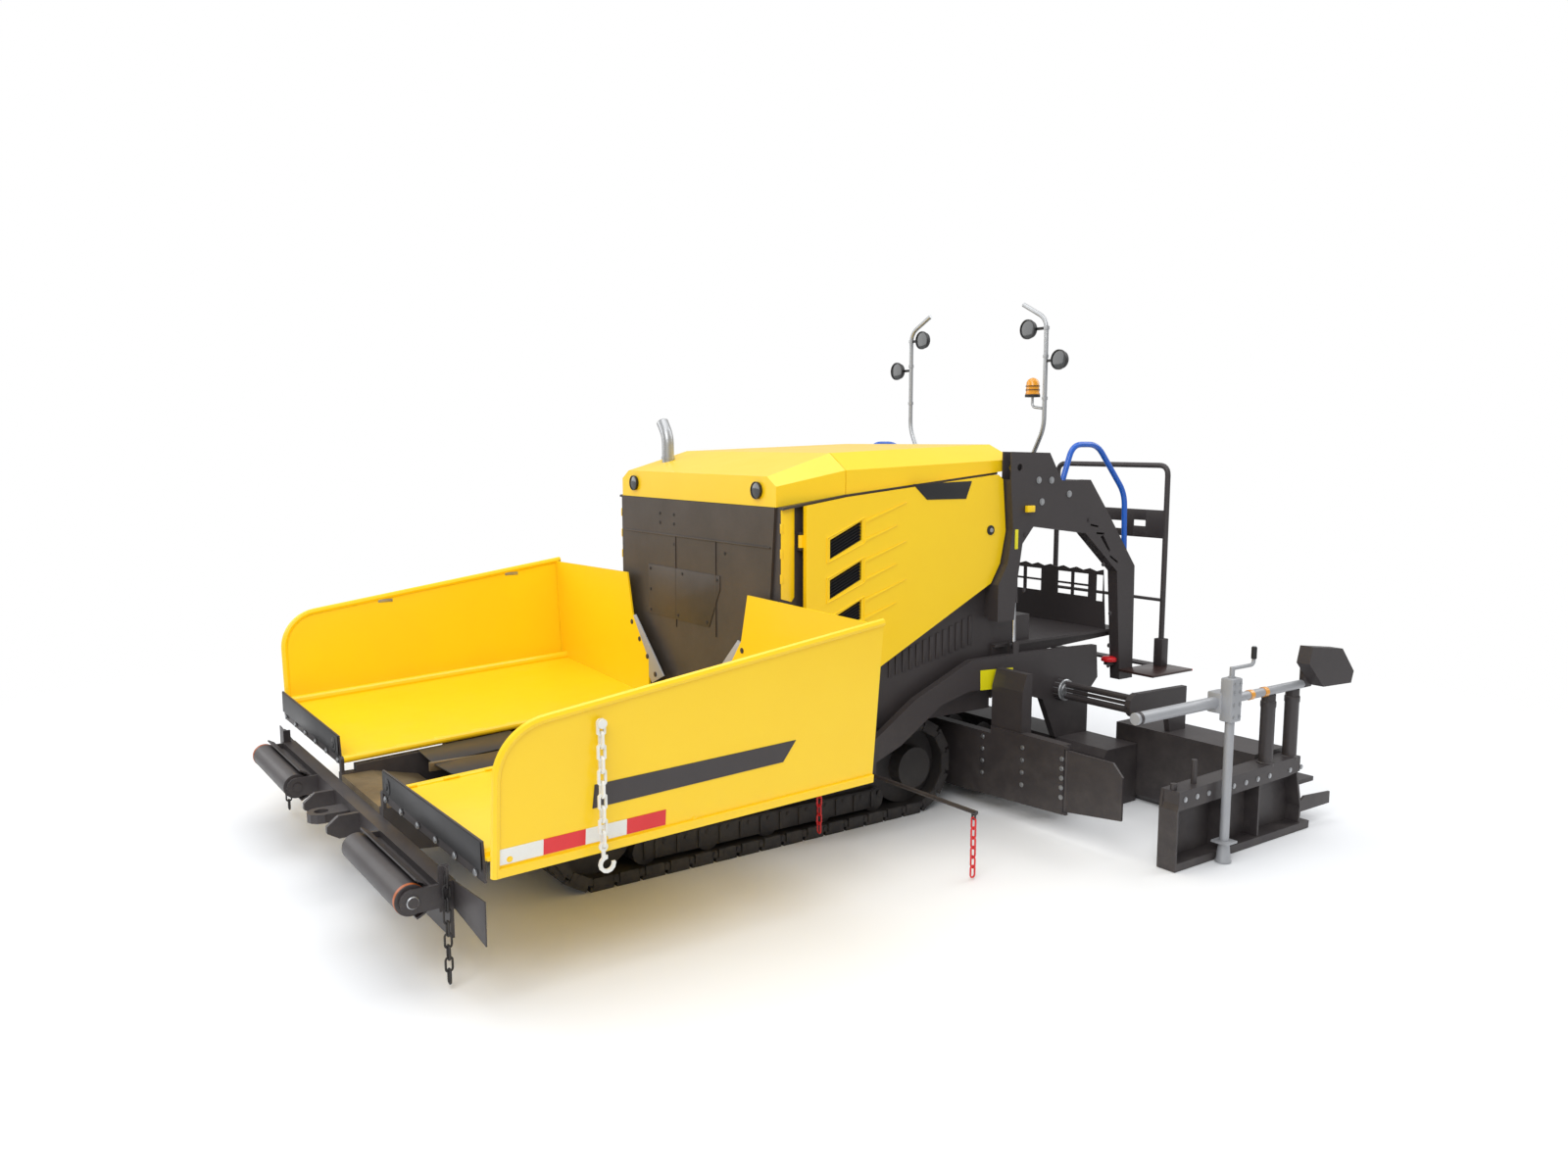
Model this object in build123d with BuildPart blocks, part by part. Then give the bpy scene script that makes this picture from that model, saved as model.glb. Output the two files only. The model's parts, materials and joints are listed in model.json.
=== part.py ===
"""Tracked asphalt paver: hopper wings in front, engine house amidships,
auger and hydraulically extended screed behind.  Millimetres, +Z up, ground at
z = 0.  The machine's front faces -Y and its left side is +X.  Stations are
measured rearward from the push roller axis, which lies FRONT from the origin."""
import os
from math import atan, cos, degrees, hypot, pi, radians, sin, tan

from build123d import *

os.makedirs("parts", exist_ok=True)

# ------------------------------------------------------------------ driving sizes
FRONT = -2294.0            # y of the push roller axis
RUN = 0.3                  # running gap between curved faces
SWING = 6.0                # gap between a moving body and what it passes
WELD = 1.0                 # how far a welded plate runs into the one that carries it
BORE_SIDES = 12            # sides of a bore, whose flats stand clear of the round pin in it

# tracks
SHOE_PITCH = 132.0
SHOES_ALONG = 14           # pitches between the wheel centres
SHOES_ON_WHEEL = 6         # pitches round half a wheel
SHOE_GAP = 16.0
SHOE_THICK = 24.0
SHOE_WIDTH = 250.0
CHAIN_THICK = 30.0
TRACK_OUTER_X = 711.0
IDLER_STATION = 1010.0
SHOE_RADIUS = SHOES_ON_WHEEL * SHOE_PITCH / pi       # middle of the shoe plates
LOOP_R = SHOE_RADIUS + SHOE_THICK / 2
DRIVE_STATION = IDLER_STATION + SHOES_ALONG * SHOE_PITCH

# chassis
FRAME_HALF = 300.0         # inner half width of the conveyor tunnel
FRAME_WALL = 52.0
TUNNEL_FLOOR_Z = 300.0
TUNNEL_FLOOR_THICK = 12.0
TRACK_CLEAR = 16.8         # from the upper run to the engine house
FRAME_BEHIND = 107.9       # from the track's rear end to the frame's
FRAME_TOP_Z = 2 * LOOP_R + TRACK_CLEAR
FRAME_BOTTOM_Z = 180.0
FRAME_REAR = DRIVE_STATION + LOOP_R + FRAME_BEHIND

# hopper
HINGE_FRONT = 178.0
HINGE_LONG = 1698.0
HINGE_SLOPE = 2.9
HINGE_TUBE_R = 18.0
HINGE_PIN_R = 10.0
HINGE_X = FRAME_HALF + 30
HINGE_REAR = HINGE_FRONT + HINGE_LONG
HINGE_FRONT_Z = FRAME_TOP_Z - 45
WING_SKIN = 10.0
WING_FLOOR_RISE = 55.0
SIDE_X = 1530.0
SIDE_LEAN = 5.6
SIDE_FRONT_Z = HINGE_FRONT_Z - 6
SIDE_REAR_RISE = 58.0
SIDE_REAR_HEIGHT = 762.0
SIDE_TOP_DROP = 230.0      # fall of the top edge from rear to front
SIDE_CORNER_R = 200.0
RIM_R = 17.0
RIM_SIDES = 8

# push rollers
ROLLER_Z = 355.0
ROLLER_R = 58.0
ROLLER_INNER = 512.0
ROLLER_LONG = 702.0
ROLLER_OUTER = ROLLER_INNER + ROLLER_LONG
JOURNAL_R = 20.0
BEARING_WALL = 16.0
BEAM_FRONT = ROLLER_R + 38
BEAM_REAR = BEAM_FRONT + 64
BEAM_LOW_Z = ROLLER_Z - 60
BEAM_HIGH_Z = ROLLER_Z + 50

# engine house
HOUSE_FRONT = HINGE_REAR + 49
HOUSE_REAR = FRAME_REAR + 100
HOUSE_HALF = 800.0
HOUSE_WALL = 12.0
HOUSE_FLOOR_Z = FRAME_TOP_Z + 15
DOOR_INNER_X = HOUSE_HALF + 35
DOOR_THICK = 25.0

# operator's deck
DECK_Z = 900.0
DECK_THICK = 15.0
DECK_LONG = 1070.0
DECK_REAR = HOUSE_REAR + DECK_LONG
STEP_Z = DECK_Z - 232
FOOT_Z = STEP_Z - 64       # lower end of the gantry's rear legs

# working end
AUGER_STATION = FRAME_REAR + 250
AUGER_Z = 250.0
AUGER_R = 150.0
AUGER_SHAFT_R = 38.0
AUGER_PITCH = 240.0
MOLDBOARD_STATION = FRAME_REAR
MOLDBOARD_THICK = 12.0
MOLDBOARD_LOW_Z = 120.0
MOLDBOARD_HIGH_Z = 480.0
MOLDBOARD_INNER_Z = MOLDBOARD_HIGH_Z - 40
FLAP_HINGE_X = 1445.0
FLAP_WIDE = 350.0

# screed
TOW_STATION = HOUSE_FRONT + 465
TOW_Z = 430.0
TOW_INNER_X = HOUSE_HALF + 52
TOW_THICK = 40.0
TOW_OUTER_X = TOW_INNER_X + TOW_THICK
SCREED_FRONT = FRAME_REAR + 530
SCREED_DEPTH = 280.0
SCREED_REAR = SCREED_FRONT + SCREED_DEPTH
SCREED_HALF = 1250.0
SCREED_LOW_Z = 3.0
SCREED_TOP_Z = 330.0
EXT_DEPTH = 394.0
EXT_FRONT = SCREED_REAR + SWING
EXT_REAR = EXT_FRONT + EXT_DEPTH
EXT_INNER = SCREED_HALF - 150
EXT_WIDE = 868.0
EXT_OUTER = EXT_INNER + EXT_WIDE
EXT_TOP_Z = 425.0
END_PLATE_WIDE = 102.0
GUIDE_STATION = SCREED_FRONT + 44


def st(station):
    """y of a station measured back from the push roller axis."""
    return FRONT + station


def side_plane(x):
    """Sketch plane across the machine at x: local x is +Y, local y is +Z."""
    return Plane.YZ.offset(x)


def cross_plane(station):
    """Sketch plane at a station: local x is +X, local y is +Z, normal towards the front."""
    return Plane(origin=(0, st(station), 0), x_dir=(1, 0, 0), z_dir=(0, -1, 0))


def profile(points):
    """Closed straight-sided outline in the sketch plane's own coordinates."""
    Polygon(*points, align=None)


def side_points(points):
    """(station, z) pairs turned into side-plane coordinates."""
    return [(st(station), z) for station, z in points]


def behind(station, height, rows):
    """(station, z) pairs from rows of (distance behind a station, rise over a height)."""
    return [(station + back, height + up) for back, up in rows]


def eased(points, cut):
    """Points of a bent bar's centre line, each inner corner cut back by the same length."""
    path = [points[0]]
    for before, corner, after in zip(points, points[1:], points[2:]):
        for near in (before, after):
            share = cut / hypot(near[0] - corner[0], near[1] - corner[1])
            path.append((corner[0] + (near[0] - corner[0]) * share,
                         corner[1] + (near[1] - corner[1]) * share))
    return path + [points[-1]]


def box_between(x0, x1, station0, station1, z0, z1, mode=Mode.ADD):
    """Axis-aligned box given by its limits, the y limits as stations."""
    with Locations(((x0 + x1) / 2, st((station0 + station1) / 2), (z0 + z1) / 2)):
        Box(abs(x1 - x0), abs(station1 - station0), abs(z1 - z0), mode=mode)


def along_x(radius, x0, x1, station, z, mode=Mode.ADD):
    """Round bar or bore along X between x0 and x1."""
    with Locations(Location(((x0 + x1) / 2, st(station), z), (0, 90, 0))):
        Cylinder(radius, abs(x1 - x0), mode=mode)


def slope_point(station):
    """Height of the sloping hopper hinge line at a station."""
    return HINGE_FRONT_Z + (station - HINGE_FRONT) * tan(radians(HINGE_SLOPE))


# ------------------------------------------------------------------ tracks
WHEEL_Z = LOOP_R
LOOP_MIDDLE = (IDLER_STATION + DRIVE_STATION) / 2
WHEEL_GAP = DRIVE_STATION - IDLER_STATION
CHAIN_OUTER_R = SHOE_RADIUS - SHOE_THICK / 2 + WELD
CHAIN_INNER_R = CHAIN_OUTER_R - CHAIN_THICK
TRACK_INNER_X = TRACK_OUTER_X - SHOE_WIDTH

shoe_places = []
for step in range(SHOES_ALONG + 1):
    along = st(IDLER_STATION + step * SHOE_PITCH)
    shoe_places.append(Location((along, WHEEL_Z - SHOE_RADIUS), 0))
    shoe_places.append(Location((along, WHEEL_Z + SHOE_RADIUS), 0))
for step in range(1, SHOES_ON_WHEEL):
    turn = 180 * step / SHOES_ON_WHEEL
    out = SHOE_RADIUS * sin(radians(turn))
    up = SHOE_RADIUS * cos(radians(turn))
    shoe_places.append(Location((st(DRIVE_STATION) + out, WHEEL_Z + up), -turn))
    shoe_places.append(Location((st(IDLER_STATION) - out, WHEEL_Z + up), turn))

with BuildPart() as track_left:
    with BuildSketch(side_plane(TRACK_INNER_X)):
        with Locations((st(LOOP_MIDDLE), WHEEL_Z)):
            SlotCenterToCenter(WHEEL_GAP, 2 * CHAIN_OUTER_R)
        for place in shoe_places:
            with Locations(place):
                Rectangle(SHOE_PITCH - SHOE_GAP, SHOE_THICK)
        with Locations((st(LOOP_MIDDLE), WHEEL_Z)):
            SlotCenterToCenter(WHEEL_GAP, 2 * CHAIN_INNER_R, mode=Mode.SUBTRACT)
    extrude(amount=SHOE_WIDTH)
track_left.part.label = "track_left"
export_step(track_left.part, "parts/track_left.step")

# undercarriage: box beam with idler, drive hub and five rollers on one track
BEAM_INNER_X = TRACK_INNER_X + 70
BEAM_OUTER_X = TRACK_OUTER_X - 70
BEAM_RISE = 95.0
BEAM_FALL = 114.0
BOTTOM_ROLLERS = 5
BOTTOM_ROLLER_R = 66.0
WHEEL_R = CHAIN_INNER_R - RUN
HUB_COVER_R = 112.0
WHEEL_X = (TRACK_INNER_X + TRACK_OUTER_X) / 2
ROLLER_AXLE_Z = WHEEL_Z - WHEEL_R + BOTTOM_ROLLER_R
roller_gap = (WHEEL_GAP - 480) / (BOTTOM_ROLLERS - 1)
roller_stations = [IDLER_STATION + 240 + step * roller_gap for step in range(BOTTOM_ROLLERS)]
wheel_stations = [IDLER_STATION, DRIVE_STATION]
# inner x, outer x, radius, sides, height, stations
wheel_rows = (
    (WHEEL_X - 46, WHEEL_X + 46, WHEEL_R, 24, WHEEL_Z, wheel_stations),
    (TRACK_INNER_X + 30, TRACK_OUTER_X - 30, 60, 12, WHEEL_Z, wheel_stations),
    (TRACK_OUTER_X - 90, TRACK_OUTER_X + 12, HUB_COVER_R, 16, WHEEL_Z, [DRIVE_STATION]),
    (BEAM_INNER_X - 30, BEAM_OUTER_X + 30, BOTTOM_ROLLER_R, 12, ROLLER_AXLE_Z, roller_stations))
with BuildPart() as undercarriage_side:
    with BuildSketch(side_plane(BEAM_INNER_X)):
        profile(side_points(behind(IDLER_STATION, WHEEL_Z, [(20, -40), (20, 40), (260, BEAM_RISE)])
                            + behind(DRIVE_STATION, WHEEL_Z,
                                     [(-260, BEAM_RISE), (-20, 60), (-20, -60), (-240, -BEAM_FALL)])
                            + [(IDLER_STATION + 240, WHEEL_Z - BEAM_FALL)]))
    extrude(amount=BEAM_OUTER_X - BEAM_INNER_X)
    for inner, outer, radius, sides, height, stations in wheel_rows:
        with BuildSketch(side_plane(inner)):
            with Locations(*[(st(station), height) for station in stations]):
                RegularPolygon(radius, sides)
        extrude(amount=outer - inner)
with BuildPart() as undercarriage:
    add(undercarriage_side.part)
    mirror(undercarriage_side.part, about=Plane.YZ)
undercarriage.part.label = "undercarriage"
export_step(undercarriage.part, "parts/undercarriage.step")

# ------------------------------------------------------------------ chassis
FRAME_OUTER = FRAME_HALF + FRAME_WALL
FRAME_FRONT = BEAM_REAR + 70
TUNNEL_FRONT = BEAM_REAR + 20
CROSS_STATIONS = (IDLER_STATION + 470, DRIVE_STATION - 478)
CROSS_LOW_Z = WHEEL_Z - 59
CROSS_HIGH_Z = WHEEL_Z + 71
LUG_THICK = 14.0
LUG_DROP = 80.0
HINGE_LUGS = (HINGE_FRONT - LUG_THICK - 1, HINGE_REAR + 1)
with BuildPart() as main_frame:
    for side in (-1, 1):
        with BuildSketch(side_plane(side * FRAME_HALF if side > 0 else -FRAME_OUTER)):
            profile(side_points([
                (FRAME_FRONT, FRAME_BOTTOM_Z + 60), (FRAME_FRONT, slope_point(FRAME_FRONT) - 30),
                (HINGE_REAR + 20, slope_point(HINGE_REAR) - 30),
                (HINGE_REAR + 20, FRAME_TOP_Z), (FRAME_REAR, FRAME_TOP_Z),
                (FRAME_REAR, FRAME_BOTTOM_Z), (FRAME_FRONT + 670, FRAME_BOTTOM_Z)]))
        extrude(amount=FRAME_WALL)
        for station in CROSS_STATIONS:
            box_between(side * (FRAME_OUTER - WELD), side * BEAM_INNER_X,
                        station - 75, station + 75, CROSS_LOW_Z, CROSS_HIGH_Z)
        # hinge pin of the hopper wing with its two end lugs
        for station in HINGE_LUGS:
            with BuildSketch(cross_plane(station + LUG_THICK)):
                with Locations((side * HINGE_X, slope_point(station))):
                    RegularPolygon(HINGE_TUBE_R, BORE_SIDES)
                with Locations((side * HINGE_X, slope_point(station) - LUG_DROP / 2)):
                    Rectangle(2 * HINGE_TUBE_R, LUG_DROP)
            extrude(amount=LUG_THICK)
        reach = (HINGE_LUGS[1] - HINGE_LUGS[0]) / cos(radians(HINGE_SLOPE))
        middle_station = (HINGE_LUGS[0] + HINGE_LUGS[1] + LUG_THICK) / 2
        with Locations(Location((side * HINGE_X, st(middle_station), slope_point(middle_station)),
                                (HINGE_SLOPE - 90, 0, 0))):
            Cylinder(HINGE_PIN_R, reach)
    # front crossbeam between the push beam and the side members, which carries the front lugs
    with BuildSketch(cross_plane(FRAME_FRONT + 32)):
        profile([(-FRAME_OUTER, TUNNEL_FLOOR_Z), (-FRAME_OUTER, slope_point(HINGE_FRONT) - 60),
                 (-FRAME_HALF, slope_point(HINGE_FRONT) - 60), (-FRAME_HALF, TUNNEL_FLOOR_Z + 95),
                 (FRAME_HALF, TUNNEL_FLOOR_Z + 95), (FRAME_HALF, slope_point(HINGE_FRONT) - 60),
                 (FRAME_OUTER, slope_point(HINGE_FRONT) - 60), (FRAME_OUTER, TUNNEL_FLOOR_Z)])
    extrude(amount=FRAME_FRONT + 32 - BEAM_REAR)
    box_between(-FRAME_HALF - WELD, FRAME_HALF + WELD, TUNNEL_FRONT, FRAME_REAR,
                TUNNEL_FLOOR_Z - TUNNEL_FLOOR_THICK, TUNNEL_FLOOR_Z)
    for station in (FRAME_FRONT + 670, HOUSE_FRONT - 25, FRAME_REAR - 60):
        box_between(-FRAME_HALF - WELD, FRAME_HALF + WELD, station - 60, station + 60,
                    FRAME_BOTTOM_Z, TUNNEL_FLOOR_Z - WELD)
main_frame.part.label = "main_frame"
export_step(main_frame.part, "parts/main_frame.step")

# slat conveyor on the tunnel floor with a centre divider and two chain guides on each side
CONVEYOR_FRONT = TUNNEL_FRONT + 120
CONVEYOR_REAR = FRAME_REAR - 30
SLAT_PITCH = 145.0
SLAT_WIDE = 32.0
DIVIDER_HALF = 14.0
GUIDE_WIDE = 16.0
with BuildPart() as conveyor:
    with BuildSketch(cross_plane(CONVEYOR_REAR)):
        with Locations((0, TUNNEL_FLOOR_Z + 15)):
            Rectangle(2 * (DIVIDER_HALF + GUIDE_WIDE), 30)
        with Locations((0, TUNNEL_FLOOR_Z + 35)):
            Rectangle(2 * DIVIDER_HALF, 70)
        for side in (-1, 1):
            with Locations((side * (FRAME_HALF - 13.5), TUNNEL_FLOOR_Z + 15)):
                Rectangle(25, 30)
    extrude(amount=CONVEYOR_REAR - CONVEYOR_FRONT)
    for step in range(int((CONVEYOR_REAR - CONVEYOR_FRONT) / SLAT_PITCH)):
        slat = CONVEYOR_FRONT + SLAT_PITCH / 2 + step * SLAT_PITCH
        for side in (-1, 1):
            box_between(side * (DIVIDER_HALF + GUIDE_WIDE - WELD), side * (FRAME_HALF - 26 + WELD),
                        slat, slat + SLAT_WIDE, TUNNEL_FLOOR_Z + 2, TUNNEL_FLOOR_Z + 26)
conveyor.part.label = "conveyor"
export_step(conveyor.part, "parts/conveyor.step")

# ------------------------------------------------------------------ chain links
LINK_BAR = 9.0
LINK_INNER = 46.0
LINK_INNER_WIDE = 17.0
LINK_SEAT = LINK_BAR + 1   # flat at a ring's end where the next ring's bar lies
LINK_PITCH = LINK_INNER - RUN
with BuildPart() as chain_link:
    with BuildSketch(Plane(origin=(0, 0, 0), x_dir=(0, 0, 1), z_dir=(1, 0, 0))) as link_outline:
        Rectangle(LINK_INNER + 2 * LINK_BAR, LINK_INNER_WIDE + 2 * LINK_BAR)
        chamfer(link_outline.vertices(), LINK_BAR)
        with BuildSketch(mode=Mode.PRIVATE) as link_hole:
            Rectangle(LINK_INNER, LINK_INNER_WIDE)
            chamfer(link_hole.vertices(), (LINK_INNER_WIDE - LINK_SEAT) / 2)
        add(link_hole.sketch, mode=Mode.SUBTRACT)
    extrude(amount=LINK_BAR / 2, both=True)

TAB_HOLE = 14.0            # square hole for a chain's first link
TAB_THICK = 6.0
TAB_DROP = TAB_HOLE / 2 - RUN


def chain_places(x, station, top_z, links):
    """Places of the links of a chain whose first link hangs from top_z, each turned a quarter."""
    places = []
    for count in range(links):
        middle_z = top_z - LINK_INNER / 2 - count * LINK_PITCH
        places.append(Location((x, st(station), middle_z), (0, 0, 90 * (count % 2))))
    return places


def chain_tab(x, station, z, x_from, z_top):
    """Pierced plate for a chain's first link, reaching sideways to x_from and up to z_top."""
    half = TAB_HOLE / 2 + 6
    reach = -1 if x_from < x else 1
    box_between(x_from, x - reach * half, station - TAB_THICK / 2, station + TAB_THICK / 2, z - half, z_top)
    with Locations((x, st(station), z)):
        Box(TAB_HOLE, 2 * TAB_THICK, TAB_HOLE, mode=Mode.SUBTRACT)


# ------------------------------------------------------------------ front end
PLATE_X = (ROLLER_INNER - 4 - BEARING_WALL, ROLLER_OUTER + 4)
BEAM_HALF = ROLLER_OUTER + 4 + BEARING_WALL
BEARING_R = JOURNAL_R + 26
TROUGH_R = ROLLER_R + 14
TROUGH_SKIN = 8.0
TROUGH_TURN = 75
FRONT_LINKS = 9
CHAIN_X = BEAM_HALF + 20
CHAIN_STATION = BEAM_FRONT + 22
CHAIN_TAB_Z = BEAM_HIGH_Z + 42
EYE_STATION = -10.0
TOW_EYE_R = 31.0
TOW_EYE_LOW_Z = ROLLER_Z - 25
TOW_EYE_THICK = 40.0
TOW_CHEEK_X = 190.0
TOW_CHEEK_THICK = 24.0
with BuildPart() as push_beam:
    box_between(-BEAM_HALF, BEAM_HALF, BEAM_FRONT, BEAM_REAR, BEAM_LOW_Z, BEAM_HIGH_Z)
    for side in (-1, 1):
        for wall_x in PLATE_X:
            with BuildSketch(side_plane(side * wall_x if side > 0 else -wall_x - BEARING_WALL)):
                with Locations((st(0), ROLLER_Z)):
                    RegularPolygon(BEARING_R, 12)
                with Locations((st(BEAM_FRONT / 2 + WELD), ROLLER_Z)):
                    Rectangle(BEAM_FRONT, 2 * BEARING_R * cos(pi / 12))
                with Locations((st(0), ROLLER_Z)):
                    RegularPolygon(JOURNAL_R + RUN, BORE_SIDES, major_radius=False, mode=Mode.SUBTRACT)
            extrude(amount=BEARING_WALL)
        # rolled trough behind the roller on its web
        trough = [(TROUGH_R + skin, TROUGH_TURN * share / 3) for skin, shares in (
            (0, range(-3, 4)), (TROUGH_SKIN, range(3, -4, -1))) for share in shares]
        with BuildSketch(side_plane(side * ROLLER_INNER if side > 0 else -ROLLER_OUTER)):
            profile([(st(0) + radius * cos(radians(turn)), ROLLER_Z + radius * sin(radians(turn)))
                     for radius, turn in trough])
            with Locations((st((TROUGH_R + BEAM_FRONT) / 2 + 2), ROLLER_Z)):
                Rectangle(BEAM_FRONT - TROUGH_R, 40)
        extrude(amount=ROLLER_LONG)
        # lower flap behind the beam's end, and the upright that holds the hanging chain
        box_between(side * (BEAM_HALF - 334), side * BEAM_HALF, BEAM_REAR - 24, BEAM_REAR - 10,
                    BEAM_LOW_Z - 110, BEAM_LOW_Z + WELD)
        box_between(side * (BEAM_HALF - BEARING_WALL), side * BEAM_HALF, CHAIN_STATION - 18,
                    CHAIN_STATION + 18, BEAM_HIGH_Z - WELD, CHAIN_TAB_Z + 20)
        chain_tab(side * CHAIN_X, CHAIN_STATION, CHAIN_TAB_Z, side * (BEAM_HALF - WELD), CHAIN_TAB_Z + 20)
        # cheek of the towing bracket
        with BuildSketch(side_plane(side * TOW_CHEEK_X if side > 0 else -TOW_CHEEK_X - TOW_CHEEK_THICK)):
            profile(side_points([(BEAM_FRONT + WELD, BEAM_LOW_Z + 5), (BEAM_FRONT + WELD, BEAM_HIGH_Z - 5),
                                 (10, BEAM_HIGH_Z - 5), (-40, ROLLER_Z + 5), (-40, ROLLER_Z - 25),
                                 (10, BEAM_LOW_Z + 5)]))
        extrude(amount=TOW_CHEEK_THICK)
    # towing eye
    with BuildSketch(Plane.XY.offset(TOW_EYE_LOW_Z)):
        with Locations((0, st(EYE_STATION))):
            RegularPolygon(2 * TOW_EYE_R, 12)
        with Locations((0, st((BEAM_FRONT + EYE_STATION) / 2 + WELD))):
            Rectangle(4 * TOW_EYE_R * cos(pi / 12), BEAM_FRONT - EYE_STATION)
        with Locations((0, st(EYE_STATION))):
            Circle(TOW_EYE_R, mode=Mode.SUBTRACT)
    extrude(amount=TOW_EYE_THICK)
push_beam.part.label = "push_beam"
export_step(push_beam.part, "parts/push_beam.step")

with BuildPart() as push_roller_left:
    along_x(ROLLER_R, ROLLER_INNER, ROLLER_OUTER, 0, ROLLER_Z)
    along_x(JOURNAL_R, PLATE_X[0] - 8, PLATE_X[1] + BEARING_WALL + 12, 0, ROLLER_Z)
push_roller_left.part.label = "push_roller_left"
export_step(push_roller_left.part, "parts/push_roller_left.step")

with BuildPart() as front_chains:
    for side in (-1, 1):
        with Locations(*chain_places(side * CHAIN_X, CHAIN_STATION, CHAIN_TAB_Z - TAB_DROP, FRONT_LINKS)):
            add(chain_link.part)
front_chains.part.label = "front_chains"
export_step(front_chains.part, "parts/front_chains.step")

# bare steel apron between the wings, ahead of the conveyors
APRON_THICK = 12.0
apron_z = TUNNEL_FLOOR_Z + 95
apron_points = [(BEAM_REAR, apron_z + 29), (TUNNEL_FRONT + 120, apron_z + 29),
                (TUNNEL_FRONT + 340, apron_z - 23)]
with BuildPart() as front_apron:
    with BuildSketch(side_plane(-FRAME_HALF + 2)):
        profile(side_points([(station, z + APRON_THICK) for station, z in apron_points] + apron_points[::-1]))
        profile(side_points([(BEAM_REAR, apron_z), (BEAM_REAR, apron_z + 30),
                             (FRAME_FRONT + 32, apron_z + 30),
                             (FRAME_FRONT + 32, apron_z)]))
    extrude(amount=2 * FRAME_HALF - 4)
front_apron.part.label = "front_apron"
export_step(front_apron.part, "parts/front_apron.step")

# ------------------------------------------------------------------ hopper wings
slope = radians(HINGE_SLOPE)
hinge_rear_point = (HINGE_X, st(HINGE_REAR), slope_point(HINGE_REAR))
section_plane = Plane(origin=hinge_rear_point, x_dir=(1, 0, 0), z_dir=(0, -cos(slope), -sin(slope)))
HINGE_LENGTH = (HINGE_REAR - HINGE_FRONT) / cos(slope)
PIPE_R = 26.0
PIPE_OUT = SIDE_X - 58 - HINGE_X
side_lean = radians(SIDE_LEAN)
lean_plane = Plane(origin=(SIDE_X, 0, SIDE_FRONT_Z), x_dir=(0, 1, 0),
                   z_dir=(cos(side_lean), 0, -sin(side_lean)))
SIDE_FRONT = HINGE_FRONT + 22
SIDE_REAR = HINGE_REAR + 12
TOP_FRONT_V = SIDE_REAR_HEIGHT - SIDE_TOP_DROP
REAR_WALL_STATION = HINGE_REAR - 10
LIP_HIGH = 34.0
side_corners = [(st(SIDE_FRONT), 0), (st(SIDE_REAR), SIDE_REAR_RISE),
                (st(SIDE_REAR), SIDE_REAR_HEIGHT), (st(SIDE_FRONT), TOP_FRONT_V)]
with BuildPart() as wing_left:
    # floor from the hinge tube out to the corner pipe, and the web from there to the side plate
    with BuildSketch(section_plane):
        RegularPolygon(HINGE_TUBE_R, BORE_SIDES)
        profile([(0, -6), (PIPE_OUT, WING_FLOOR_RISE - 6), (PIPE_OUT, WING_FLOOR_RISE + 4), (0, 4)])
        with Locations((PIPE_OUT, WING_FLOOR_RISE + 14)):
            RegularPolygon(PIPE_R, 12)
        profile([(PIPE_OUT, WING_FLOOR_RISE), (PIPE_OUT, WING_FLOOR_RISE + 10),
                 (PIPE_OUT + 56, WING_FLOOR_RISE + 16), (PIPE_OUT + 56, WING_FLOOR_RISE + 4)])
        RegularPolygon(HINGE_PIN_R + RUN, BORE_SIDES, major_radius=False, mode=Mode.SUBTRACT)
    extrude(amount=HINGE_LENGTH)
    # leaning side plate with a rounded front top corner
    with BuildSketch(lean_plane) as side_sheet:
        profile(side_corners)
        fillet(side_sheet.vertices().sort_by(Axis.Y)[-2:].sort_by(Axis.X)[0], SIDE_CORNER_R)
    extrude(amount=-WING_SKIN)
    # folded lip along the side plate's foot
    with BuildSketch(lean_plane):
        profile([side_corners[0], side_corners[1], (side_corners[1][0], side_corners[1][1] + LIP_HIGH),
                 (side_corners[0][0], side_corners[0][1] + LIP_HIGH)])
    extrude(amount=WING_SKIN)
    # rear wall with its slanted inner edge
    with BuildSketch(cross_plane(REAR_WALL_STATION)):
        profile([(SIDE_X - 4, slope_point(REAR_WALL_STATION) + WING_FLOOR_RISE),
                 (SIDE_X + 63, SIDE_FRONT_Z + SIDE_REAR_HEIGHT - 12),
                 (HINGE_X + 290, SIDE_FRONT_Z + SIDE_REAR_HEIGHT + 6),
                 (HINGE_X + 233, SIDE_FRONT_Z + 536), (HINGE_X + 50, SIDE_FRONT_Z + 296),
                 (HINGE_X + 50, slope_point(REAR_WALL_STATION) - 2)])
    extrude(amount=WING_SKIN)
    # rim tube along the top and down the front edge
    with BuildLine(lean_plane.offset(-WING_SKIN / 2)) as rim_path:
        FilletPolyline((st(SIDE_REAR), SIDE_REAR_HEIGHT), (st(SIDE_FRONT), TOP_FRONT_V),
                       (st(SIDE_FRONT), 0), radius=SIDE_CORNER_R)
    with BuildSketch(Plane(origin=rim_path.line @ 0, z_dir=rim_path.line % 0)):
        RegularPolygon(RIM_R, RIM_SIDES)
    sweep(path=rim_path.line)
wing_left.part.label = "wing_left"
export_step(wing_left.part, "parts/wing_left.step")

# dark front board under the floor's front edge
BOARD_THICK = 8.0
with BuildPart() as wing_board_left:
    with BuildSketch(section_plane.offset(HINGE_LENGTH)):
        profile([(22, -32), (SIDE_X - 32 - HINGE_X, -28), (SIDE_X - 28 - HINGE_X, 126), (22, 112)])
    extrude(amount=BOARD_THICK)
wing_board_left.part.label = "wing_board_left"
export_step(wing_board_left.part, "parts/wing_board_left.step")

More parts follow.
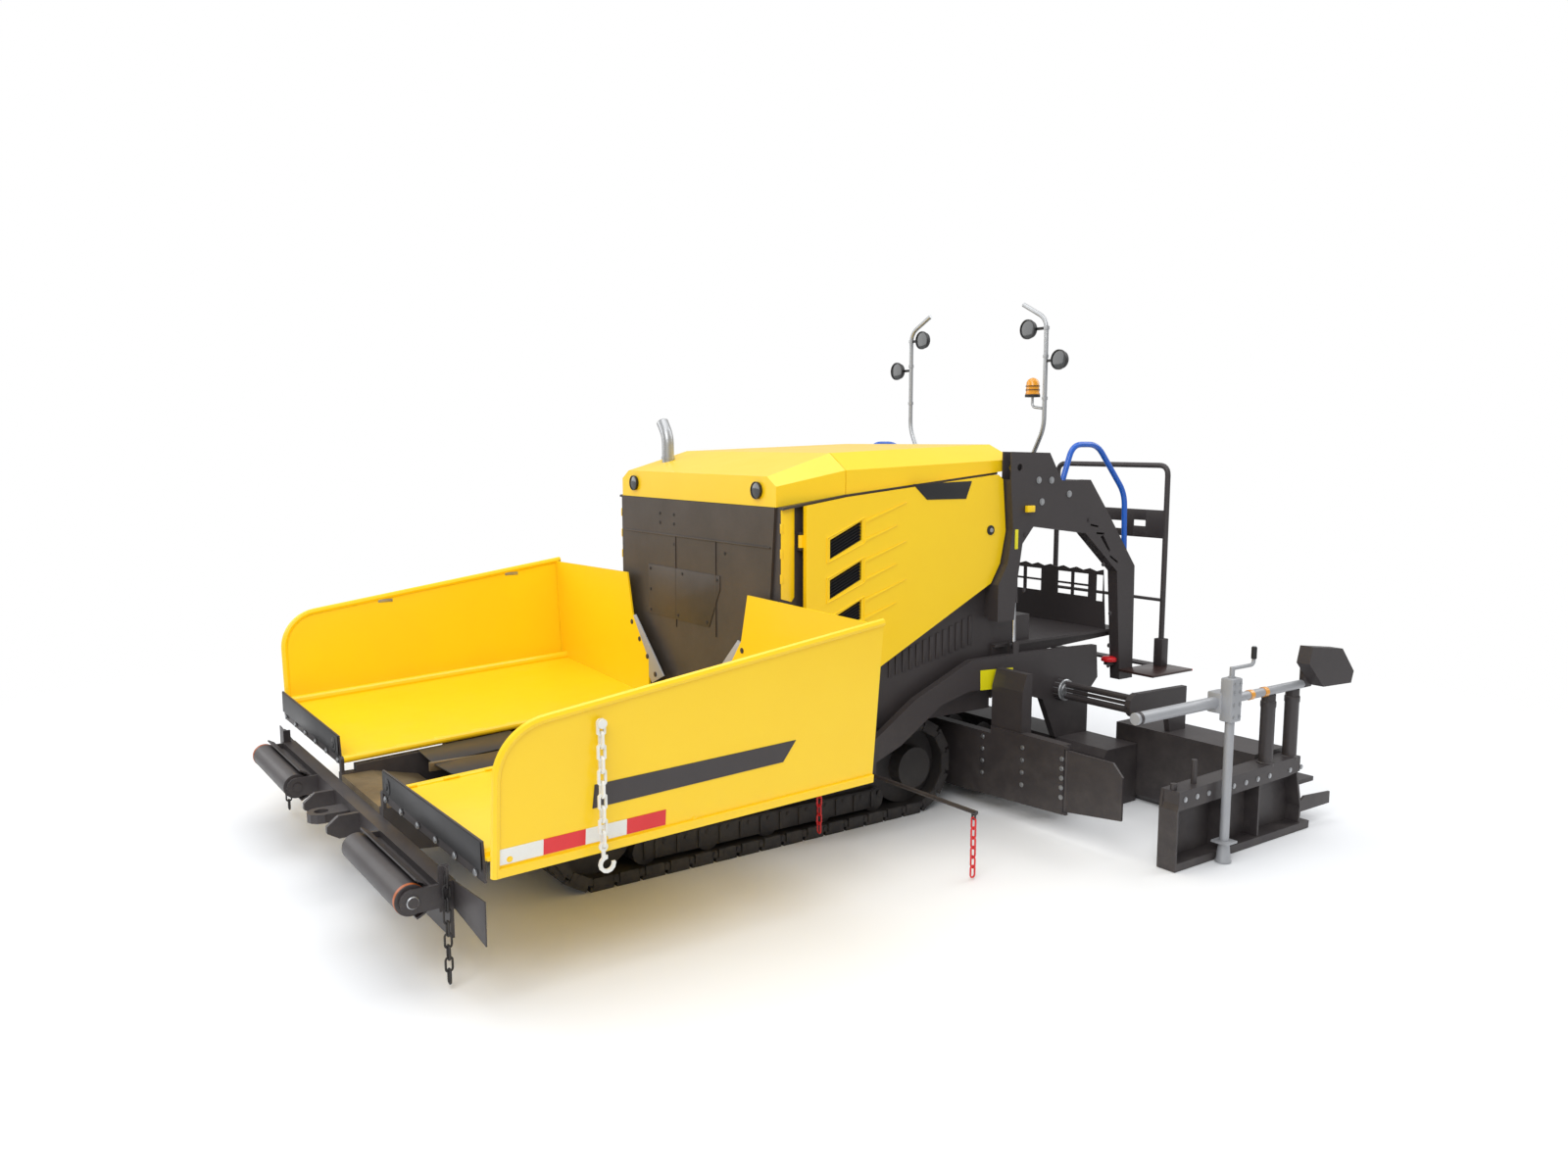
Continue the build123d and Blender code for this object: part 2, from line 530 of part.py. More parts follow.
# white chain with its hook on the left wing's side
HOOK_STATION = HINGE_FRONT + 402
HOOK_PIN_Z = SIDE_FRONT_Z + 516
HOOK_PIN_R = 6.0
HOOK_LINKS = 10
HOOK_OUT = 20.0
HOOK_THICK = 10.0
HOOK_EYE_R = 17.0
HOOK_BEND_R = 27.0
hook_x = SIDE_X + (HOOK_PIN_Z - SIDE_FRONT_Z) * tan(side_lean) + HOOK_OUT
hook_rest_z = HOOK_PIN_Z + HOOK_PIN_R / cos(side_lean) - (HOOK_OUT - LINK_BAR / 2) * tan(side_lean) + RUN
hook_eye_z = hook_rest_z - LINK_INNER - (HOOK_LINKS - 1) * LINK_PITCH - LINK_BAR / 2
hook_hole_z = hook_eye_z + LINK_BAR / 2 - TAB_DROP
with BuildPart() as wing_chain:
    for pin_r, start, long in ((HOOK_PIN_R, 0, HOOK_OUT + 12), (3 * HOOK_PIN_R, HOOK_OUT + 11, 5)):
        with BuildSketch(lean_plane.offset(start)):
            with Locations((st(HOOK_STATION), (HOOK_PIN_Z - SIDE_FRONT_Z) / cos(side_lean))):
                RegularPolygon(pin_r, 12)
        extrude(amount=long)
    with Locations(*chain_places(hook_x, HOOK_STATION, hook_rest_z, HOOK_LINKS)):
        add(chain_link.part)
    with BuildSketch(side_plane(hook_x)):
        with Locations((st(HOOK_STATION), hook_hole_z)):
            RegularPolygon(HOOK_EYE_R, 12)
        with Locations((st(HOOK_STATION), hook_hole_z - HOOK_EYE_R - HOOK_BEND_R / 2)):
            Rectangle(12, 2 * HOOK_EYE_R)
        with Locations((st(HOOK_STATION) + HOOK_BEND_R - 13, hook_hole_z - HOOK_EYE_R - 2 * HOOK_BEND_R + 4)):
            RegularPolygon(HOOK_BEND_R + 7, 12)
            RegularPolygon(HOOK_BEND_R - 7, 12, mode=Mode.SUBTRACT)
        with Locations((st(HOOK_STATION) + HOOK_BEND_R + 9, hook_hole_z - HOOK_EYE_R - HOOK_BEND_R)):
            Rectangle(42, 34, mode=Mode.SUBTRACT)
        with Locations((st(HOOK_STATION), hook_hole_z)):
            Rectangle(TAB_HOLE, TAB_HOLE, mode=Mode.SUBTRACT)
    extrude(amount=HOOK_THICK / 2, both=True)
wing_chain.part.label = "wing_chain"
export_step(wing_chain.part, "parts/wing_chain.step")

# ------------------------------------------------------------------ engine house
HOOD_Z = 1692.0            # lower edge of the hood at its front
HOOD_SKIN = 16.0
SEAM_GAP = 4.0
LEDGE_THICK = 12.0
LEDGE_INNER_X = HOUSE_HALF - 55
HOOD_LAMP_X = HOUSE_HALF - 179
HOOD_LAMP_Z = HOOD_Z + 76
HOOD_LAMP_R = 42.0
HOOD_LAMP_DEEP = 12.0
# hood sections: station, half width, low z, shoulder z, top z, top half width
HOOD_FRONT_ROW = (HOUSE_FRONT - 7, HOUSE_HALF - 25, HOOD_Z, HOOD_Z + 98, HOOD_Z + 144, HOUSE_HALF - 100)
HOOD_SEAM_ROW = (HOUSE_FRONT + 375, HOUSE_HALF + 18, HOOD_Z + 53, HOOD_Z + 170, HOOD_Z + 253,
                 HOUSE_HALF - 110)
HOOD_REAR_ROW = (HOUSE_REAR + 122, HOUSE_HALF + 32, HOOD_Z + 158, HOOD_Z + 213, HOOD_Z + 293,
                 HOUSE_HALF - 160)


def hood_low(station):
    """Height of the hood's lower edge at a station."""
    row, after = (HOOD_FRONT_ROW, HOOD_SEAM_ROW) if station <= HOOD_SEAM_ROW[0] else (HOOD_SEAM_ROW,
                                                                                      HOOD_REAR_ROW)
    start = row[0] + (SEAM_GAP if station > HOOD_SEAM_ROW[0] else 0)
    return row[2] + (after[2] - row[2]) * (station - start) / (after[0] - start)


DOOR_HINGE_X = HOUSE_HALF + 22
DOOR_HINGE_STATION = HOUSE_FRONT + 101
DOOR_PIN_R = 6.0
DOOR_KNUCKLES = (HOOD_Z - 692, HOOD_Z - 192)
KNUCKLE_LONG = 60.0
KNUCKLE_LUG = 12.0
top_edge = [(HOUSE_REAR, hood_low(HOUSE_REAR)), (HOOD_SEAM_ROW[0] + SEAM_GAP, HOOD_SEAM_ROW[2]),
            (HOOD_SEAM_ROW[0], HOOD_SEAM_ROW[2]), (HOUSE_FRONT, hood_low(HOUSE_FRONT))]
with BuildPart() as engine_house:
    with BuildSketch(side_plane(-HOUSE_HALF)):
        profile(side_points([(HOUSE_FRONT, FRAME_TOP_Z), (HOUSE_REAR, FRAME_TOP_Z)] + top_edge))
    extrude(amount=2 * HOUSE_HALF)
    for side in (-1, 1):
        with BuildSketch(side_plane(side * LEDGE_INNER_X if side > 0 else -DOOR_INNER_X + 9)):
            profile(side_points(top_edge + [(station, z - LEDGE_THICK) for station, z in reversed(top_edge)]))
        extrude(amount=DOOR_INNER_X - 9 - LEDGE_INNER_X)
    # engine bay, narrower at the top where the ledges carry the hood
    for half, top_z in ((LEDGE_INNER_X, HOOD_Z + 270), (HOUSE_HALF - HOUSE_WALL, HOOD_Z - 22)):
        box_between(-half, half, HOUSE_FRONT + HOUSE_WALL, HOUSE_REAR - HOUSE_WALL, HOUSE_FLOOR_Z, top_z,
                    mode=Mode.SUBTRACT)
    # hinge lugs and pins of the two side doors
    for side in (-1, 1):
        for low in DOOR_KNUCKLES:
            for edge in (low - KNUCKLE_LUG - 1, low + KNUCKLE_LONG + 1):
                box_between(side * (HOUSE_HALF - 2), side * (DOOR_HINGE_X + 8), DOOR_HINGE_STATION - 8,
                            DOOR_HINGE_STATION + 8, edge, edge + KNUCKLE_LUG)
            with Locations((side * DOOR_HINGE_X, st(DOOR_HINGE_STATION), low + KNUCKLE_LONG / 2)):
                Cylinder(DOOR_PIN_R, KNUCKLE_LONG + 2 * KNUCKLE_LUG)
engine_house.part.label = "engine_house"
export_step(engine_house.part, "parts/engine_house.step")

ENGINE_HALF = 290.0
with BuildPart() as engine_block:
    box_between(-ENGINE_HALF, ENGINE_HALF, HOUSE_FRONT + 225, HOUSE_REAR - 380, HOUSE_FLOOR_Z, HOOD_Z - 342)
engine_block.part.label = "engine_block"
export_step(engine_block.part, "parts/engine_block.step")

SHIELD_THICK = 12.0
shield_edge = [(HOUSE_HALF - 31, HOOD_Z - 2), (HOUSE_HALF - 65, HOOD_Z - 402),
               (HOUSE_HALF - 110, HOOD_Z - 692),
               (FRAME_HALF + 25, FRAME_TOP_Z + 145)]
with BuildPart() as heat_shield:
    with BuildSketch(cross_plane(HOUSE_FRONT)):
        profile(shield_edge + [(-x, z) for x, z in reversed(shield_edge)])
    extrude(amount=SHIELD_THICK)
heat_shield.part.label = "heat_shield"
export_step(heat_shield.part, "parts/heat_shield.step")


def hood_outline(row, inset):
    """Six-sided cross section of the hood from one row, shrunk by inset and open below."""
    station, half, low, shoulder, top, top_half = row
    edge = low - (1 if inset else 0)
    side = half - inset
    crown = top_half - 0.5 * inset
    return [(side, edge), (side, shoulder - 0.3 * inset), (crown, top - inset),
            (-crown, top - inset), (-side, shoulder - 0.3 * inset), (-side, edge)]


with BuildPart() as hood_front_block:
    with BuildSketch(cross_plane(HOOD_FRONT_ROW[0])):
        profile(hood_outline(HOOD_FRONT_ROW, 0))
    with BuildSketch(cross_plane(HOOD_SEAM_ROW[0])):
        profile(hood_outline(HOOD_SEAM_ROW, 0))
    loft(ruled=True)
with BuildPart() as hood_front:
    add(hood_front_block.part)
    with BuildSketch(cross_plane(HOOD_FRONT_ROW[0] + HOOD_SKIN)):
        profile(hood_outline(HOOD_FRONT_ROW, HOOD_SKIN))
    with BuildSketch(cross_plane(HOOD_SEAM_ROW[0])):
        profile(hood_outline(HOOD_SEAM_ROW, HOOD_SKIN))
    loft(ruled=True, mode=Mode.SUBTRACT)
hood_front.part.label = "hood_front"
export_step(hood_front.part, "parts/hood_front.step")

with BuildPart() as hood_rear:
    with BuildSketch(cross_plane(HOOD_SEAM_ROW[0] + SEAM_GAP)):
        profile(hood_outline(HOOD_SEAM_ROW, 0))
    with BuildSketch(cross_plane(HOOD_REAR_ROW[0])):
        profile(hood_outline(HOOD_REAR_ROW, 0))
    loft(ruled=True)
    with BuildSketch(cross_plane(HOOD_SEAM_ROW[0] + SEAM_GAP)):
        profile(hood_outline(HOOD_SEAM_ROW, HOOD_SKIN))
    with BuildSketch(cross_plane(HOOD_REAR_ROW[0] - HOOD_SKIN)):
        profile(hood_outline(HOOD_REAR_ROW, HOOD_SKIN))
    loft(ruled=True, mode=Mode.SUBTRACT)
hood_rear.part.label = "hood_rear"
export_step(hood_rear.part, "parts/hood_rear.step")

# exhaust stack: straight pipe with a cut-off bend leaning outward
STACK_X = -(HOUSE_HALF - 220)
STACK_STATION = HOUSE_FRONT + 185
STACK_R = 34.0
STACK_WALL = 4.0
STACK_LOW_Z = HOOD_Z + 183
STACK_BEND_Z = HOOD_Z + 338
with BuildPart() as exhaust_stack:
    with BuildLine(cross_plane(STACK_STATION)) as stack_path:
        Polyline(*eased([(STACK_X, STACK_LOW_Z), (STACK_X, STACK_BEND_Z),
                         (STACK_X - 62, STACK_BEND_Z + 82)], 30))
    with BuildSketch(Plane(origin=stack_path.line @ 0, z_dir=stack_path.line % 0)):
        RegularPolygon(STACK_R, 12)
        RegularPolygon(STACK_R - STACK_WALL, 12, mode=Mode.SUBTRACT)
    sweep(path=stack_path.line, transition=Transition.RIGHT)
    add(hood_front_block.part, mode=Mode.SUBTRACT)
exhaust_stack.part.label = "exhaust_stack"
export_step(exhaust_stack.part, "parts/exhaust_stack.step")

# side door with three raked louvre openings and its hinge leaves
DOOR_FRONT = DOOR_HINGE_STATION + 8
DOOR_LOW_Z = DECK_Z - 32
DOOR_KNUCKLE_R = 11.0
DOOR_TOP_GAP = 11.0
DOOR_TOP_REAR = HOUSE_REAR - 25
LOUVRE_ROWS = (HOOD_Z - 255, HOOD_Z - 450, HOOD_Z - 645)     # front low corner heights
LOUVRE_FRONT = DOOR_FRONT + 141
LOUVRE_REAR = LOUVRE_FRONT + 197
LOUVRE_HIGH = 95.0
LOUVRE_RISE = 86.0
door_top = [(station, hood_low(station) - DOOR_TOP_GAP) for station in (DOOR_FRONT, HOOD_SEAM_ROW[0],
                                                                        DOOR_TOP_REAR)]
door_rear = behind(HOUSE_REAR, DOOR_LOW_Z, [(10, 932), (38, 655), (0, 482), (-65, 378), (-850, 0)])
with BuildPart() as side_door_left:
    with BuildSketch(side_plane(DOOR_INNER_X)):
        profile(side_points(door_top + door_rear + [(DOOR_FRONT, DOOR_LOW_Z)]))
        for low in LOUVRE_ROWS:
            Polygon(*side_points([(LOUVRE_FRONT, low), (LOUVRE_REAR, low + LOUVRE_RISE),
                                  (LOUVRE_REAR, low + LOUVRE_RISE + LOUVRE_HIGH),
                                  (LOUVRE_FRONT, low + LOUVRE_HIGH)]), align=None, mode=Mode.SUBTRACT)
    extrude(amount=DOOR_THICK)
    for low in DOOR_KNUCKLES:
        with BuildSketch(Plane.XY.offset(low)):
            with Locations(((DOOR_HINGE_X + DOOR_INNER_X + 2) / 2,
                            st((DOOR_HINGE_STATION + DOOR_FRONT + 40) / 2))):
                Rectangle(DOOR_INNER_X + 2 - DOOR_HINGE_X, DOOR_FRONT + 40 - DOOR_HINGE_STATION)
            with Locations((DOOR_HINGE_X, st(DOOR_HINGE_STATION))):
                RegularPolygon(DOOR_KNUCKLE_R, 8)
                RegularPolygon(DOOR_PIN_R + RUN, 8, major_radius=False, mode=Mode.SUBTRACT)
        extrude(amount=KNUCKLE_LONG)
side_door_left.part.label = "side_door_left"
export_step(side_door_left.part, "parts/side_door_left.step")

# tow brackets with the arms' pins, the marker rods beside them and the tabs of the red chains
TOW_PIN_R = 20.0
TOW_PLATE_X = TOW_INNER_X - SWING
ROD_STATION = TOW_STATION + 65
ROD_Z = TOW_Z - 108
ROD_END_X = HOUSE_HALF + 800
ROD_R = 11.0
ROD_TAB_DROP = 24.0
ROD_CHAIN_X = ROD_END_X - 18
ROD_LINKS = 6
PLATE_STATION = TOW_STATION - 210
PLATE_CHAIN_X = HOUSE_HALF - 25
PLATE_CHAIN_Z = TOW_Z - 140
PLATE_LINKS = 5
with BuildPart() as tow_brackets:
    for side in (-1, 1):
        box_between(side * HOUSE_HALF, side * TOW_PLATE_X, TOW_STATION - 80, TOW_STATION + 100,
                    TOW_Z - 130, TOW_Z + 270)
        along_x(TOW_PIN_R, side * (TOW_PLATE_X - WELD), side * (TOW_OUTER_X + 12), TOW_STATION, TOW_Z)
        with BuildSketch(side_plane(side * (TOW_PLATE_X - WELD) if side > 0 else -ROD_END_X)):
            with Locations((st(ROD_STATION), ROD_Z)):
                RegularPolygon(ROD_R, 8)
        extrude(amount=ROD_END_X - TOW_PLATE_X + WELD)
        chain_tab(side * ROD_CHAIN_X, ROD_STATION, ROD_Z - ROD_TAB_DROP, side * (ROD_CHAIN_X - 13), ROD_Z)
        chain_tab(side * PLATE_CHAIN_X, PLATE_STATION, PLATE_CHAIN_Z, side * HOUSE_HALF, FRAME_TOP_Z)
tow_brackets.part.label = "tow_brackets"
export_step(tow_brackets.part, "parts/tow_brackets.step")

# red chains: from the marker rods and from the tabs ahead of the tow brackets
with BuildPart() as marker_chains:
    for side in (-1, 1):
        with Locations(*chain_places(side * ROD_CHAIN_X, ROD_STATION, ROD_Z - ROD_TAB_DROP - TAB_DROP,
                                     ROD_LINKS)):
            add(chain_link.part)
        with Locations(*chain_places(side * PLATE_CHAIN_X, PLATE_STATION, PLATE_CHAIN_Z - TAB_DROP,
                                     PLATE_LINKS)):
            add(chain_link.part)
marker_chains.part.label = "marker_chains"
export_step(marker_chains.part, "parts/marker_chains.step")

# ------------------------------------------------------------------ gantry and platform
LIFT_X = TOW_INNER_X + TOW_THICK / 2
GANTRY_IN = LIFT_X - 34
GANTRY_OUT = LIFT_X + 34
GANTRY_CHEEK = 8.0
LIFT_TOP_STATION = HOUSE_REAR + 90
LIFT_TOP_Z = DECK_Z + 750
LIFT_PIN_R = 14.0
HEAD_Z = DECK_Z + 887
MAST_STATION = DECK_REAR - 450
TIE_R = 22.0
FOOT_RISE = FOOT_Z - DECK_Z
# outlines as rows of (distance behind, rise over the deck)
gantry_front_edge = behind(HOUSE_REAR, DECK_Z, [(-56, 140), (-56, 340), (10, 445), (46, 630), (22, 900),
                                                (22, 1047),
                                                (320, 1040), (421, 887)])
gantry_rear_edge = behind(DECK_REAR, DECK_Z, [(-410, 887), (-269, 719), (3, 375), (18, FOOT_RISE),
                                              (-100, FOOT_RISE), (-155, 351), (-439, 587)])
gantry_window_edge = behind(HOUSE_REAR, DECK_Z, [(205, 643), (122, 553), (87, 340), (70, 140)])
lift_channel = behind(HOUSE_REAR, DECK_Z, [(-46, 130), (-46, 340), (20, 445), (56, 630), (50, 810),
                                           (128, 810),
                                           (128, 130)])
leg_slots = (((-399, 638), (-331, 624), (-333, 614), (-401, 628)),
             ((-346, 588), (-278, 582), (-279, 571), (-347, 577)),
             ((-310, 560), (-288, 570), (-221, 478), (-230, 466)),
             ((-220, 450), (-148, 408), (-153, 398), (-225, 440)))
with BuildPart() as gantry_side:
    with BuildSketch(side_plane(GANTRY_IN)):
        profile(side_points(gantry_front_edge + gantry_rear_edge + gantry_window_edge))
        for slot in leg_slots:
            Polygon(*side_points(behind(DECK_REAR, DECK_Z, slot)), align=None, mode=Mode.SUBTRACT)
        with Locations((st(HOUSE_REAR + 88), DECK_Z + 963)):
            RegularPolygon(20, 12, mode=Mode.SUBTRACT)
    extrude(amount=GANTRY_OUT - GANTRY_IN)
    # channel for the lift cylinder, open to the rear and at the foot
    with BuildSketch(side_plane(GANTRY_IN + GANTRY_CHEEK)):
        profile(side_points(lift_channel))
    extrude(amount=GANTRY_OUT - GANTRY_IN - 2 * GANTRY_CHEEK, mode=Mode.SUBTRACT)
    # the head is two cheeks above the beam
    box_between(GANTRY_IN + GANTRY_CHEEK, GANTRY_OUT - GANTRY_CHEEK, HOUSE_REAR, HOUSE_REAR + 430,
                HEAD_Z + 12,
                HEAD_Z + 200, mode=Mode.SUBTRACT)
    along_x(LIFT_PIN_R, GANTRY_IN + 2, GANTRY_OUT - 2, LIFT_TOP_STATION, LIFT_TOP_Z)
    # foot against the engine house
    box_between(HOUSE_HALF, GANTRY_IN + WELD, HOUSE_REAR - 50, HOUSE_REAR - 2, DECK_Z + 155, DECK_Z + 335)
with BuildPart() as gantries:
    add(gantry_side.part)
    mirror(gantry_side.part, about=Plane.YZ)
    with BuildSketch(side_plane(-GANTRY_IN - WELD)):
        with Locations((st(MAST_STATION), HEAD_Z - TIE_R)):
            RegularPolygon(TIE_R, 12)
    extrude(amount=2 * (GANTRY_IN + WELD))
gantries.part.label = "gantries"
export_step(gantries.part, "parts/gantries.step")

GUARD_STATION = DECK_REAR - 138
GUARD_HIGH = 350.0
GUARD_HALF = GANTRY_IN - 18
GUARD_TEETH = 16
BRACKET_THICK = 16.0
tooth = 2 * GUARD_HALF / GUARD_TEETH
guard_top = [(GUARD_HALF - (step + 0.5) * tooth / 2, DECK_Z + GUARD_HIGH - (14 if step % 2 else 0))
             for step in range(2 * GUARD_TEETH)]
# windows of the guard panel: inner x, outer x, low and high over the deck
guard_windows = [(near, far, low, high) for near, far in ((66, 165), (190, 313), (448, 553), (575, 685))
                 for low, high in ((178, 240), (252, 315))] + [(745, 795, 160, 317)]
with BuildPart() as platform:
    box_between(-GANTRY_IN, GANTRY_IN, HOUSE_REAR, DECK_REAR, DECK_Z - DECK_THICK, DECK_Z)
    for side in (-1, 1):
        for inner in (FRAME_HALF + 30, HOUSE_HALF):
            with BuildSketch(side_plane(side * inner if side > 0 else -inner - BRACKET_THICK)):
                profile(side_points([(HOUSE_REAR, DECK_Z - 300), (HOUSE_REAR, DECK_Z - DECK_THICK + WELD),
                                     (DECK_REAR, DECK_Z - DECK_THICK + WELD), (DECK_REAR, DECK_Z - 38),
                                     (HOUSE_REAR + 310, DECK_Z - 74)]))
            extrude(amount=BRACKET_THICK)
    # pierced guard panel with a toothed top across the rear of the deck
    with BuildSketch(cross_plane(GUARD_STATION + 3)):
        profile([(-GUARD_HALF, DECK_Z - WELD), (GUARD_HALF, DECK_Z - WELD)] + guard_top)
        for near, far, low, high in guard_windows:
            with Locations(((near + far) / 2, DECK_Z + (low + high) / 2),
                           (-(near + far) / 2, DECK_Z + (low + high) / 2)):
                Rectangle(far - near, high - low, mode=Mode.SUBTRACT)
    extrude(amount=6)
    # operator's console and the box beside it, behind the engine house
    with BuildSketch(side_plane(-(HOUSE_HALF - 180))):
        profile(side_points(behind(HOUSE_REAR, DECK_Z, [(0, -WELD), (0, 740), (110, 800), (210, 660),
                                                        (110, 500),
                                                        (110, -WELD)])))
    extrude(amount=420)
    box_between(HOUSE_HALF - 200, HOUSE_HALF - 5, HOUSE_REAR, HOUSE_REAR + 310, DECK_Z - WELD, DECK_Z + 141)
platform.part.label = "platform"
export_step(platform.part, "parts/platform.step")

RAIL_R = 16.0
RAIL_SIDES = 8
grab_points = behind(DECK_REAR, HEAD_Z, [(-610, -10), (-530, 197), (-325, 197), (-70, -87), (-55, -467)])
with BuildPart() as grab_rails:
    for side in (-1, 1):
        with BuildLine(side_plane(side * LIFT_X)) as grab_path:
            Polyline(*eased(side_points(grab_points), 45))
        with BuildSketch(Plane(origin=grab_path.line @ 0, z_dir=grab_path.line % 0)):
            RegularPolygon(RAIL_R, RAIL_SIDES)
        sweep(path=grab_path.line, transition=Transition.RIGHT)
    add(gantries.part, mode=Mode.SUBTRACT)
grab_rails.part.label = "grab_rails"
export_step(grab_rails.part, "parts/grab_rails.step")

REAR_RAIL_STATION = DECK_REAR + 200
RAIL_NEAR_X = GANTRY_OUT + 60
RAIL_FAR_X = 125.0
RAIL_TOP_Z = DECK_Z + 960
CROSS_BAR_Z = DECK_Z + 160
RAIL_PANEL_Z = (DECK_Z + 528, DECK_Z + 695)
STEP_THICK = 14.0
STEP_WIDE = 244.0
rail_points = [(RAIL_FAR_X, STEP_Z - 2), (RAIL_FAR_X, RAIL_TOP_Z), (RAIL_NEAR_X, RAIL_TOP_Z),
               (RAIL_NEAR_X, STEP_Z - 2)]
with BuildPart() as rear_step:
    box_between(GANTRY_OUT, GANTRY_OUT + STEP_WIDE, DECK_REAR - 110, DECK_REAR + 260, STEP_Z - STEP_THICK,
                STEP_Z)
    box_between(RAIL_FAR_X - 65, GANTRY_OUT + WELD, REAR_RAIL_STATION - 40, REAR_RAIL_STATION + 40,
                STEP_Z - STEP_THICK, STEP_Z)
    with BuildLine(cross_plane(REAR_RAIL_STATION)) as rail_path:
        Polyline(*eased(rail_points, 45))
    with BuildSketch(Plane(origin=rail_path.line @ 0, z_dir=rail_path.line % 0)):
        RegularPolygon(RAIL_R, RAIL_SIDES)
    sweep(path=rail_path.line, transition=Transition.RIGHT)
    with BuildSketch(cross_plane(REAR_RAIL_STATION + 4)):
        with Locations(((RAIL_FAR_X + RAIL_NEAR_X) / 2, sum(RAIL_PANEL_Z) / 2)):
            Rectangle(RAIL_NEAR_X - RAIL_FAR_X, RAIL_PANEL_Z[1] - RAIL_PANEL_Z[0])
        Polygon((RAIL_NEAR_X - 425, RAIL_PANEL_Z[0] + 44), (RAIL_NEAR_X - 310, RAIL_PANEL_Z[0] + 44),
                (RAIL_NEAR_X - 322, RAIL_PANEL_Z[0] + 92), (RAIL_NEAR_X - 413, RAIL_PANEL_Z[0] + 92),
                align=None, mode=Mode.SUBTRACT)
        with Locations((RAIL_NEAR_X - 188, RAIL_PANEL_Z[0] + 84)):
            Rectangle(88, 36, mode=Mode.SUBTRACT)
    extrude(amount=8)
    with BuildSketch(side_plane(RAIL_FAR_X)):
        with Locations((st(REAR_RAIL_STATION), CROSS_BAR_Z)):
            RegularPolygon(10, 8)
    extrude(amount=RAIL_NEAR_X - RAIL_FAR_X)
    box_between(RAIL_NEAR_X - 30, RAIL_NEAR_X + 30, REAR_RAIL_STATION - 30, REAR_RAIL_STATION + 30,
                STEP_Z - WELD, STEP_Z + 162)
rear_step.part.label = "rear_step"
export_step(rear_step.part, "parts/rear_step.step")

# lamp masts on the tie tube between the gantries, with their work lamps and the beacon
MAST_R = 13.0
MAST_X = 582.0
MAST_FOOT_X = MAST_X - 102
LAMP_R = 50.0
LAMP_THICK = 56.0
# x and z of the two lamps of one mast
LAMP_ROWS = ((MAST_X - 125, HEAD_Z + 861), (MAST_X + 118, HEAD_Z + 675))
mast_points = [(MAST_FOOT_X, HEAD_Z - TIE_R), (MAST_FOOT_X, HEAD_Z + 93), (MAST_X, HEAD_Z + 293),
               (MAST_X, HEAD_Z + 913), (MAST_X - 182, HEAD_Z + 1008)]
with BuildPart() as masts:
    for side in (-1, 1):
        with BuildLine(cross_plane(MAST_STATION)) as mast_path:
            Polyline(*eased([(side * x, z) for x, z in mast_points], 40))
        with BuildSketch(Plane(origin=mast_path.line @ 0, z_dir=mast_path.line % 0)):
            RegularPolygon(MAST_R, RAIL_SIDES)
        sweep(path=mast_path.line, transition=Transition.RIGHT)
    add(gantries.part, mode=Mode.SUBTRACT)
masts.part.label = "masts"
export_step(masts.part, "parts/masts.step")

with BuildPart() as work_lamps:
    for side in (-1, 1):
        for lamp_x, z in LAMP_ROWS:
            reach = 1 if lamp_x > MAST_X else -1
            box_between(side * (MAST_X + reach * (MAST_R + RUN)), side * lamp_x, MAST_STATION - 6,
                        MAST_STATION + 6, z - 8, z + 8)
        # mast lamps, and the lamps set on the hood's front face
        for places, station, radius, deep in (
                (LAMP_ROWS, MAST_STATION + LAMP_THICK / 2, LAMP_R, LAMP_THICK),
                (((HOOD_LAMP_X, HOOD_LAMP_Z),), HOOD_FRONT_ROW[0], HOOD_LAMP_R, HOOD_LAMP_DEEP)):
            with BuildSketch(cross_plane(station)):
                for lamp_x, z in places:
                    with Locations((side * lamp_x, z)):
                        RegularPolygon(radius, 12)
            extrude(amount=deep)
work_lamps.part.label = "work_lamps"
export_step(work_lamps.part, "parts/work_lamps.step")

BEACON_X = MAST_X - 94
BEACON_Z = HEAD_Z + 483
BEACON_R = 44.0
BEACON_HIGH = 100.0
with BuildPart() as beacon:
    # bent arm from the mast to the beacon's foot
    with BuildSketch(cross_plane(MAST_STATION + 6)):
        profile([(MAST_X - MAST_R - RUN, BEACON_Z - 84), (MAST_X - MAST_R - RUN, BEACON_Z - 72),
                 (BEACON_X + 8, BEACON_Z - 60), (BEACON_X + 8, BEACON_Z), (BEACON_X - 8, BEACON_Z),
                 (BEACON_X - 8, BEACON_Z - 72)])
    extrude(amount=12)
    with BuildSketch(Plane.XY.offset(BEACON_Z - WELD)):
        with Locations((BEACON_X, st(MAST_STATION))):
            RegularPolygon(BEACON_R, 12)
    extrude(amount=BEACON_HIGH + WELD)
beacon.part.label = "beacon"
export_step(beacon.part, "parts/beacon.step")

